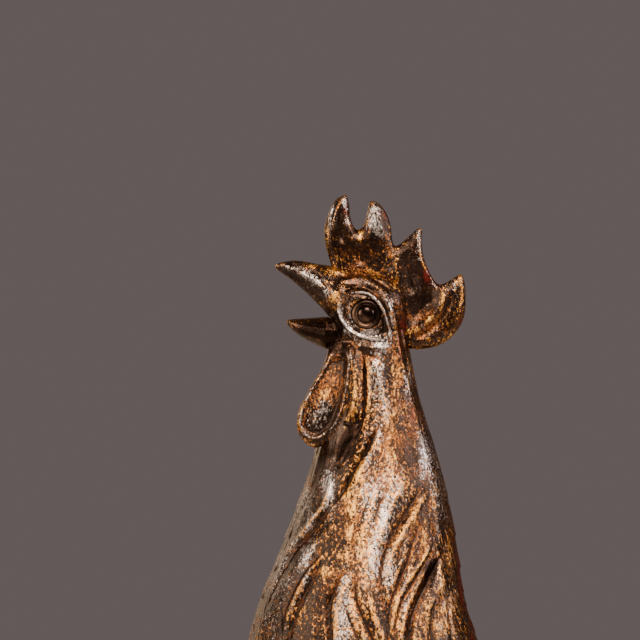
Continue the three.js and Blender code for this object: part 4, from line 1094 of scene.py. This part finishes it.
def base():
    """A moulded oval with uneven ground on top, which stays low round the feet."""
    moulding = spline([(i, BASE_FLOOR + h) for i, h in MOULDING], 0.5)
    cove = spline([(i, BASE_FLOOR + h) for i, h in COVE], 0.6)
    under = [(i, BASE_FLOOR) for i in UNDER_INSETS]
    profile = [*under, *moulding, *cove, *[(i, BASE_TOP) for i in TOP_INSETS]]

    def ground(co):
        on_top = ease(co[:, 2], BASE_FLOOR + 12.5, BASE_FLOOR + 14.4)
        lumps = sum(height * noise(co, size, seed) for height, size, seed in GROUND_LUMPS)
        off_feet = ease(np.hypot(np.abs(co[:, 0]) - LEG_SPREAD, co[:, 1] - FOOT_Y), *FOOT_CLEAR)
        lumps = np.minimum(lumps, 0) - 0.15 + np.maximum(lumps, 0) * 0.5 * off_feet
        side_wear = 0.12 * noise(co, 5, 5.5)
        co = co.copy()
        co[:, 2] += on_top * lumps
        co[:, :2] *= (1 + (1 - on_top) * side_wear / 80)[:, None]
        return co

    bronzed(oval("base_plate", profile, 300, ground), "base_skin", "base_plate")


def felt_pad():
    under = [(i, 0.0) for i in np.linspace(70.5, 6.4, 60)]
    profile = [*under, *FELT_EDGE, *[(i, FELT_TOP) for i in np.linspace(7, 70.5, 24)]]

    def nap(co):
        co = co.copy()
        co[:, :2] *= (1 - 0.25 * np.abs(noise(co, 2.2, 4.4)) / 70)[:, None]
        co[:, 2] += np.maximum(0.05 * noise(co, 1.8, 7.7), 0) * (co[:, 2] < FELT_TOP / 2)
        return co

    sculpt = oval("felt_pad", profile, 220, nap)
    placed(described(sculpt), "felt_pad_napped", "felt_pad", felt())


# Materials

class Nodes:
    """Short calls for a material's node tree."""

    def __init__(self, name):
        self.material = bpy.data.materials.new(name)
        self.material.use_nodes = True
        self.tree = self.material.node_tree
        self.shader = self.tree.nodes["Principled BSDF"]

    def put(self, kind, **settings):
        made = self.tree.nodes.new("ShaderNode" + kind)
        for key, value in settings.items():
            setattr(made, key, value)
        return made

    def feed(self, socket, value):
        if isinstance(value, bpy.types.NodeSocket):
            self.tree.links.new(value, socket)
        elif value is not None:
            socket.default_value = value

    def place(self):
        return self.put("TexCoord").outputs["Object"]

    def noise(self, size, detail=3.0, roughness=0.55, lift=0.0, drawn=1.0):
        """Noise from 0 to 1 in lumps about size millimetres wide. Drawn under 1 makes them taller."""
        made = self.put("TexNoise", noise_dimensions="4D")
        scaled = self.put("VectorMath", operation="MULTIPLY")
        self.feed(scaled.inputs[0], self.place())
        scaled.inputs[1].default_value = (1, 1, drawn)
        self.feed(made.inputs["Vector"], scaled.outputs[0])
        made.inputs["W"].default_value = lift
        made.inputs["Scale"].default_value = 1 / (size * MM)
        made.inputs["Detail"].default_value = detail
        made.inputs["Roughness"].default_value = roughness
        return made.outputs["Fac"]

    def coat(self, color, roughness, metallic=0.0):
        for name, value in (("Base Color", color), ("Roughness", roughness), ("Metallic", metallic)):
            self.feed(self.shader.inputs[name], value)

    def sculpted(self, name):
        return self.put("Attribute", attribute_name=name).outputs["Fac"]

    def math(self, operation, a, b=None, c=None):
        made = self.put("Math", operation=operation)
        for socket, value in zip(made.inputs, (a, b, c)):
            self.feed(socket, value)
        return made.outputs[0]

    def total(self, *weighted):
        """The sum of (weight, value) pairs and plain numbers."""
        result = None
        for term in weighted:
            if isinstance(term, tuple):
                result = self.math("MULTIPLY_ADD", term[1], term[0], 0.0 if result is None else result)
            else:
                result = self.math("ADD", result, term)
        return result

    def ramp(self, value, low, high):
        """0 below low and 1 above high, smooth between."""
        made = self.put("MapRange", interpolation_type="SMOOTHSTEP")
        self.feed(made.inputs["Value"], value)
        made.inputs["From Min"].default_value = low
        made.inputs["From Max"].default_value = high
        return made.outputs["Result"]

    def mix(self, share, a, b, kind="RGBA"):
        made = self.put("Mix", data_type=kind)
        first = {"FLOAT": 2, "RGBA": 6}[kind]
        self.feed(made.inputs[0], share)
        self.feed(made.inputs[first], a)
        self.feed(made.inputs[first + 1], b)
        return made.outputs[{"FLOAT": 0, "RGBA": 2}[kind]]

    def bump(self, *heights):
        """Bumps from (strength, height in millimetres, value), one over the other."""
        normal = None
        for strength, height, value in heights:
            made = self.put("Bump")
            self.feed(made.inputs["Strength"], strength)
            made.inputs["Distance"].default_value = height * MM
            self.feed(made.inputs["Height"], value)
            self.feed(made.inputs["Normal"], normal)
            normal = made.outputs["Normal"]
        self.feed(self.shader.inputs["Normal"], normal)


EDGE_TINT = (1, 0.74, 0.55, 1)
DARK = (0.011, 0.0045, 0.0025, 1)
BROWN = (0.029, 0.0105, 0.0044, 1)
RUST = (0.19, 0.055, 0.011, 1)
ORANGE = (0.50, 0.17, 0.028, 1)
GILT = (0.84, 0.43, 0.10, 1)
SILVER = (0.44, 0.34, 0.28, 1)
RED_LACQUER_AND_SHADE = (0.12, 0.010, 0.006, 1)
EMBER = (0.052, 0.0098, 0.0041, 1)
EYE_DARK, EYE_BRIGHT = (0.010, 0.0040, 0.0024, 1), (0.15, 0.075, 0.042, 1)
PIN_DARK, PIN_BRIGHT = (0.07, 0.028, 0.011, 1), (0.32, 0.15, 0.05, 1)
STEEL_DARK, STEEL_BRIGHT = (0.25, 0.25, 0.26, 1), (0.50, 0.50, 0.50, 1)
FELT_DARK, FELT_BRIGHT = (0.010, 0.020, 0.013, 1), (0.030, 0.052, 0.036, 1)
FLOOR_DARK, FLOOR_BRIGHT = (0.50, 0.48, 0.47, 1), (0.54, 0.52, 0.51, 1)
BACKDROP = (0.132, 0.1055, 0.1035, 1)


def patina():
    """Old bronze: a dark skin, gilding left in worn flakes, bare pale metal on heights, red lacquer and soot
    in places. Their zones also carry painted highlight, bare metal and gilding where the lamps' highlights
    fall, and painted shade, soot, dark red and less gilding where shade falls. Each share below is how much
    of one layer shows over those under it."""
    n = Nodes("patina")
    patch, patch_two = n.noise(26, 3, 0.6), n.noise(11, 3, 0.6, 4.7)
    flake, flake_two = n.noise(1.5, 4, 0.85, drawn=0.6), n.noise(1.1, 4, 0.85, 2.3, drawn=0.6)
    grain, pit = n.noise(0.8, 3, 0.8), n.noise(1.3, 3, 0.8, 7.7)
    fine, broad = n.sculpted("fine"), n.sculpted("broad")
    gilding, polish, lacquer_and_painted_shade = n.sculpted("gilding"), n.sculpted("polish"), n.sculpted("lacquer_and_painted_shade")
    soot = n.sculpted("soot")
    smooth = n.ramp(n.total((1, soot), (0.5, polish)), 0.1, 0.9)
    ground = n.mix(n.ramp(n.total((1.5, flake_two), (0.7, patch_two), (0.2, broad)), 0.95, 1.35), DARK, BROWN)
    ground = n.mix(n.ramp(n.total((1, patch_two), (0.8, flake), (0.3, lacquer_and_painted_shade)), 0.9, 1.3), ground, EMBER)
    # Where soot and painted shade are strongest, the ground is the darkest colour.
    deep = n.ramp(soot, 0.85, 1.15)
    ground = n.mix(deep, ground, DARK)
    rust_share = n.ramp(n.total((2.0, flake), (1.0, patch_two), (-0.25, broad), (0.3, gilding)), 1.5, 1.8)
    color = n.mix(rust_share, ground, RUST)
    bare_and_sheen_share = n.ramp(n.total((2.4, flake_two), (0.6, patch_two), (0.2, broad), (0.40, polish)), 1.74, 2.1)
    color = n.mix(bare_and_sheen_share, color, SILVER)
    gilt_sum = n.total((2.6, flake), (0.8, patch), (0.22, broad), (0.14, fine), (0.34, gilding))
    gilt_share = n.ramp(gilt_sum, 1.90, 2.15)
    bright = n.ramp(n.total((2.0, flake_two), (0.2, gilding), (0.5, patch_two)), 1.15, 1.75)
    gilt = n.mix(bright, ORANGE, GILT)
    color = n.mix(gilt_share, color, gilt)
    red_share = n.ramp(n.total((1.8, flake), (0.6, patch_two), (0.6, lacquer_and_painted_shade), (-0.15, fine)), 1.5, 1.8)
    color = n.mix(red_share, color, RED_LACQUER_AND_SHADE)
    # Where soot and painted shade lie, the layers above give way to the ground.
    clear_of_soot_and_shade = n.ramp(n.total((3.0, flake), (-1.25, soot)), 0.4, 0.85)
    color = n.mix(clear_of_soot_and_shade, ground, color)
    raised = n.ramp(n.total((1, fine), (0.9, broad), (2.4, flake), (0.4, polish)), -0.3, 0.9)
    color = n.mix(raised, ground, color)
    color = n.mix(n.ramp(pit, 0.39, 0.49), DARK, color)
    metal = n.math("MAXIMUM", n.math("MAXIMUM", gilt_share, bare_and_sheen_share), n.total((0.8, rust_share)))
    metal = n.math("MAXIMUM", n.math("MULTIPLY", metal, clear_of_soot_and_shade), deep)
    roughness = n.total((0.30, grain), (0.28, flake_two), (0.09, metal), (-0.05, smooth), -0.06)
    n.coat(color, roughness, n.mix(metal, 0.7, 0.95, "FLOAT"))
    n.shader.inputs["Specular Tint"].default_value = EDGE_TINT
    uneven = n.total((-0.72, smooth), (0.4, metal), 0.6)
    n.bump((uneven, 0.34, flake), (uneven, 0.22, grain), (0.7, 0.30, pit))
    return n.material


def eye_bronze():
    """The darker, smoother bronze of the eyes."""
    n = Nodes("eye bronze")
    blotch, grain, pupil = n.noise(1.6, 4, 0.7), n.noise(0.5, 2), n.sculpted("pupil")
    # The colour darkens over the pupil, and towards the eye's top and back with the painted shadow of the
    # upper lid.
    shade = n.ramp(n.total((1, blotch), (0.4, grain), (-0.15, pupil), (-0.45, n.sculpted("soot"))), 0.3, 1.0)
    roughness = n.total((0.25, grain), (0.25, blotch), (-0.15, pupil), 0.08)
    n.coat(n.mix(shade, EYE_DARK, EYE_BRIGHT), roughness, 0.85)
    n.shader.inputs["Specular Tint"].default_value = EDGE_TINT
    n.bump((0.6, 0.12, grain))
    return n.material


def plain_metal(name, dull, bright, roughness):
    """Worn plain metal, blotched between two colours."""
    n = Nodes(name)
    blotch, grain = n.noise(2.2, 4, 0.6), n.noise(0.5, 2)
    color = n.mix(n.ramp(blotch, 0.35, 0.7), dull, bright)
    n.coat(color, n.total((0.25, grain), (0.15, blotch), roughness - 0.2), 0.95)
    n.bump((0.3, 0.08, grain))
    return n.material


def felt():
    n = Nodes("felt")
    blotch, nap = n.noise(9), n.noise(0.6, 3, 0.7)
    shade = n.ramp(n.total((0.5, blotch), (0.6, nap)), 0.3, 0.8)
    n.coat(n.mix(shade, FELT_DARK, FELT_BRIGHT), n.total((0.1, nap), 0.88))
    n.shader.inputs["Sheen Weight"].default_value = 0.4
    n.bump((0.9, 0.3, nap))
    return n.material


# Where soot, gilding, bare metal and lacquer lie, with the painted shade and painted highlight that they also
# carry, as (across, down, half width, half height, strength)

# Soot and painted shade: a darker, smoother skin. Round the mouth, on the lower beak and the beak's hollow
# side, under the wattle, in the eye socket under the upper lid, along the comb's lower edge and in creases
# down the neck it is painted shade; elsewhere on the comb it is the comb's darker patina.
SOOT_AND_PAINTED_SHADE = [
    # beak and mouth
    (290, 277, 12, 5, 0.9), (309, 291, 9, 8, 0.9), (330, 285, 9, 8, 0.8), (306, 330, 24, 11, 1.0),
    (316, 328, 12, 10, 0.65), (333, 330, 12, 12, 0.9), (340, 348, 20, 11, 0.85), (328, 348, 14, 10, 0.6),
    # eye socket
    (356, 287, 18, 7, 0.8), (364, 303, 18, 9, 0.9), (384, 318, 5, 14, 0.9),
    # comb
    (336, 228, 12, 14, 0.5), (343, 246, 22, 22, 0.75), (330, 250, 9, 12, 0.4), (376, 250, 20, 20, 0.55),
    (412, 250, 8, 16, 0.4), (420, 290, 12, 20, 0.5), (442, 304, 30, 30, 0.3), (454, 326, 16, 16, 0.8),
    (425, 346, 24, 7, 0.9),
    # behind and under the wattle
    (346, 370, 5, 20, 0.5), (372, 400, 4, 40, 0.5), (352, 430, 10, 16, 1.05), (344, 442, 13, 14, 0.85),
    (325, 453, 14, 9, 1.2), (348, 452, 9, 12, 0.7),
    # neck
    (348, 494, 8, 20, 0.4), (430, 566, 11, 18, 1.1), (428, 575, 5, 12, 0.5),
]
GILDING_AND_PAINTED_LIGHT = [
    # dark fields: comb, front of the neck, beak, eye socket and wattle; in the eye socket and on the beak's
    # hollow side, less gilding is partly painted shade
    (342, 216, 14, 20, -0.7), (380, 214, 13, 18, -0.7), (412, 256, 12, 26, -0.55), (424, 290, 11, 18, -0.6),
    (290, 580, 22, 80, -0.5), (325, 475, 16, 34, -0.4), (292, 272, 18, 9, -0.9), (309, 285, 12, 12, -0.9),
    (322, 292, 8, 8, -0.6), (300, 328, 26, 14, -0.35), (366, 314, 26, 22, -0.45), (330, 430, 14, 16, -0.6),
    # brow, beak and cheek
    (332, 270, 7, 5, 1.2), (340, 272, 8, 4, 0.75), (364, 271, 14, 4, 0.7), (378, 276, 12, 4, 0.7),
    (395, 284, 4, 6, 1.1), (312, 266, 7, 2.5, 1.3), (335, 297, 5, 8, 0.9),
    # comb
    (360, 236, 3, 7, 1.3), (396, 262, 3, 14, 0.5), (442, 300, 3, 12, 0.8), (431, 318, 8, 5, 1.1),
    (412, 331, 8, 4, 1.0), (452, 326, 5, 7, 0.7),
    # wattle and throat
    (326, 393, 7, 8, 0.8), (333, 372, 6, 9, 0.4), (354, 395, 3, 18, 0.7), (349, 419, 6, 2, 0.3),
    (366, 372, 6, 20, 0.6), (395, 372, 5, 30, 0.6), (402, 425, 6, 24, 0.1), (388, 428, 7, 16, 0.4),
    # neck, downwards; spots in the neck's middle also add gilding where the key light's highlight falls, a
    # painted highlight
    (388, 450, 9, 22, 0.5), (358, 468, 5, 18, 0.9), (390, 480, 7, 26, 0.5), (403, 480, 6, 14, 0.5),
    (346, 490, 6, 10, 0.5), (368, 490, 16, 34, 0.3), (432, 500, 5, 26, 0.5), (352, 506, 7, 11, 0.9),
    (413, 514, 4, 18, 0.8), (350, 530, 5, 8, 1.2), (400, 534, 4, 14, 0.8), (423, 535, 4, 12, 0.9),
    (449, 542, 5, 24, 0.6), (363, 545, 6, 20, 0.9), (374, 545, 14, 34, 0.45), (341, 553, 10, 6, 0.6),
    (424, 556, 4, 10, 0.8), (392, 560, 6, 30, 0.3), (326, 568, 9, 7, 1.1), (410, 574, 4, 12, 0.85),
    (437, 575, 6, 20, 0.35), (350, 595, 12, 34, 0.6), (396, 600, 3, 18, 0.9), (372, 600, 5, 20, 0.5),
    (425, 606, 4, 16, 0.7), (300, 608, 12, 26, 0.4), (444, 612, 10, 24, 0.85),
]
# Bare pale metal, mostly as painted highlight: spots sit where the lamps' highlights fall, on the lids, the
# beak's edge, the comb's edges, the cheek and the flanks of the neck, and on the neck's front edge as a
# painted sheen; the rest is metal worn bare on heights.
POLISH_AND_PAINTED_SHEEN = [
    # eyelids
    (348, 328, 6, 5, 1.2), (340, 311, 3, 9, 1.2), (366, 337, 16, 4, 1.2), (372, 331, 10, 5, 0.5),
    (388, 300, 4, 8, 0.3), (364, 292, 12, 2, 0.8), (383, 312, 3, 12, 0.2), (349, 318, 5, 11, 1.0),
    (368, 333, 12, 4, 0.5),
    # beak and cheek
    (292, 268, 10, 3, 0.7), (306, 274, 8, 4, 0.9), (316, 281, 8, 6, 1.0), (327, 292, 5, 8, 0.8),
    (382, 345, 8, 7, 1.2), (391, 316, 4, 14, 1.2),
    # comb
    (374, 219, 6, 14, 0.9), (378, 230, 6, 8, 1.1), (331, 210, 4, 16, 1.2), (344, 203, 4, 8, 1.0),
    (347, 222, 3, 8, 0.8), (420, 245, 3, 16, 0.9), (430, 272, 3, 9, 0.6), (464, 284, 3, 16, 0.8),
    (455, 288, 5, 10, 0.6),
    # wattle and throat
    (314, 421, 11, 13, 0.8), (326, 408, 9, 9, 0.85), (377, 378, 8, 32, 1.0), (386, 408, 5, 16, 0.7),
    (376, 438, 5, 14, 0.9), (366, 454, 4, 12, 0.8),
    # front of the neck
    (330, 484, 6, 18, 0.9), (305, 498, 8, 24, 0.8), (326, 500, 6, 26, 0.8), (292, 515, 10, 26, 0.9),
    (312, 520, 5, 16, 0.8), (308, 548, 10, 12, 0.6), (278, 560, 10, 34, 0.9), (305, 574, 7, 22, 0.8),
    (268, 610, 8, 26, 0.5),
    # middle of the neck
    (388, 470, 7, 36, 0.4), (398, 488, 7, 24, 0.7), (366, 502, 7, 22, 0.4), (372, 505, 14, 40, 0.75),
    (384, 520, 6, 26, 0.9), (403, 552, 4, 22, 0.5), (374, 556, 7, 30, 0.9), (364, 562, 10, 26, 0.4),
    (386, 562, 8, 26, 0.8), (392, 580, 5, 20, 0.55), (345, 590, 6, 20, 0.8), (345, 602, 10, 40, 0.5),
    (404, 605, 5, 26, 0.85), (352, 620, 5, 18, 0.5), (378, 620, 5, 18, 0.5), (340, 624, 8, 24, 0.8),
    # back of the neck
    (408, 382, 7, 22, 0.8), (430, 440, 6, 34, 0.6), (422, 455, 6, 24, 1.0), (439, 480, 10, 56, 0.75),
    (448, 600, 8, 44, 0.65), (440, 618, 8, 24, 0.5),
]
RED = [
    # comb
    (346, 212, 4, 12, 0.9), (386, 214, 3, 9, 0.9), (355, 252, 20, 8, 0.3), (428, 276, 6, 9, 1.2),
    (461, 325, 5, 12, 0.8), (440, 345, 14, 4, 0.4),
    # lower beak, behind the eye, and the neck; the dark red strip along the back edge of the neck is partly
    # painted shade
    (306, 328, 12, 6, 0.45), (404, 325, 5, 12, 0.9), (399, 352, 4, 22, 0.7), (412, 405, 4, 34, 0.5),
    (302, 600, 6, 24, 0.3), (455, 520, 5, 40, 1.3), (462, 570, 5, 40, 1.3), (474, 625, 6, 36, 1.3),
]
ZONE_LIMITS = (-1, 1.2)
ZONE_FORWARD = 0.4  # share of a zone's strength where the surface faces forwards or back


def zones(sculpt, spots):
    """The strength of the spots at each point, less where the surface faces forwards or back."""
    pixels = to_pixels(sculpt.co)
    total = np.zeros(len(pixels))
    for across, down, half_width, half_height, strength in spots:
        offset = (pixels - (across, down)) / (half_width, half_height)
        total += strength * np.exp(-(offset ** 2).sum(1))
    sideways = ease(np.abs(sculpt.normals()[:, 0]), 0.0, 0.45)
    return np.clip(total, *ZONE_LIMITS) * (ZONE_FORWARD + (1 - ZONE_FORWARD) * sideways)


def painted(sculpt, **more):
    """Writes the zones for the material, with more of any of them at each point."""
    for name, spots in (("gilding", GILDING_AND_PAINTED_LIGHT), ("polish", POLISH_AND_PAINTED_SHEEN), ("lacquer_and_painted_shade", RED), ("soot", SOOT_AND_PAINTED_SHADE)):
        sculpt.attribute(name, zones(sculpt, spots) + more.get(name, 0))
    return sculpt


# Camera, light and floor, in metres

CAMERA_DISTANCE = 3.0
SENSOR = 36.0  # millimetres
AIM_DROP = 0.06  # the lamps aim this far under the eye
FLOOR_RADIUS = 1.3


def add_camera():
    camera = bpy.data.cameras.new("camera")
    holder = link("camera", camera)
    camera.sensor_width = SENSOR
    camera.lens = SENSOR * CAMERA_DISTANCE / (PHOTO_SIDE * PIXEL * MM)
    middle = from_pixels([(PHOTO_SIDE / 2, PHOTO_SIDE / 2)])[0] * MM
    holder.location = (CAMERA_DISTANCE, *middle)
    holder.rotation_euler = (math.pi / 2, 0, math.pi / 2)
    bpy.context.scene.camera = holder


LIGHTS = {  # place, size, power, colour
    "key": ((1.2, 0.12, 1.38), 0.5, 56, (1, 0.95, 0.88)),
    "front": ((0.75, -1.4, 0.85), 0.8, 30, (0.97, 1, 0.97)),
    "rim": ((0.5, 1.5, 1.0), 0.5, 31, (0.88, 0.90, 1)),
    "back": ((-1.25, -1.0, 0.75), 0.8, 4, (0.97, 1, 0.97)),
}


def add_lights():
    world = bpy.data.worlds.new("studio")
    bpy.context.scene.world = world
    world.use_nodes = True
    world.node_tree.nodes["Background"].inputs["Color"].default_value = BACKDROP
    aim = Vector((0, *EYE)) * MM - Vector((0, 0, AIM_DROP))
    for name, (place, size, power, color) in LIGHTS.items():
        light = bpy.data.lights.new(name, "AREA")
        light.shape = "SQUARE"
        light.size = size
        light.energy = power
        light.color = color
        lamp = link(name, light)
        lamp.location = place
        lamp.rotation_euler = (aim - lamp.location).to_track_quat("-Z", "Y").to_euler()


def add_floor():
    bm = bmesh.new()
    bmesh.ops.create_circle(bm, cap_ends=True, segments=96, radius=FLOOR_RADIUS)
    mesh = mesh_of("floor", bm)
    n = Nodes("floor")
    n.coat(n.mix(n.noise(60), FLOOR_DARK, FLOOR_BRIGHT), 0.9)
    mesh.materials.append(n.material)
    link("floor", mesh)


bronze, eye_metal = patina(), eye_bronze()
trunk_surface = place_trunk()
comb()
for sign, side in ((1, "left"), (-1, "right")):
    wattle(sign, f"{side}_wattle", trunk_surface)
    eye(sign, f"{side}_eye")
    wing(f"{side}_wing")
    leg(sign, f"{side}_leg")
tail()
base()
felt_pad()

pin_metal = plain_metal("pin bronze", PIN_DARK, PIN_BRIGHT, 0.42)
steel = plain_metal("steel", STEEL_DARK, STEEL_BRIGHT, 0.35)
for name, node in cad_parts.items():
    if "_pin" in name or "wing_screw" in name or "bolt" in name or "washer" in name:
        node.data.materials.clear()
        node.data.materials.append(steel if "bolt" in name or "washer" in name else pin_metal)

add_camera()
add_lights()
add_floor()
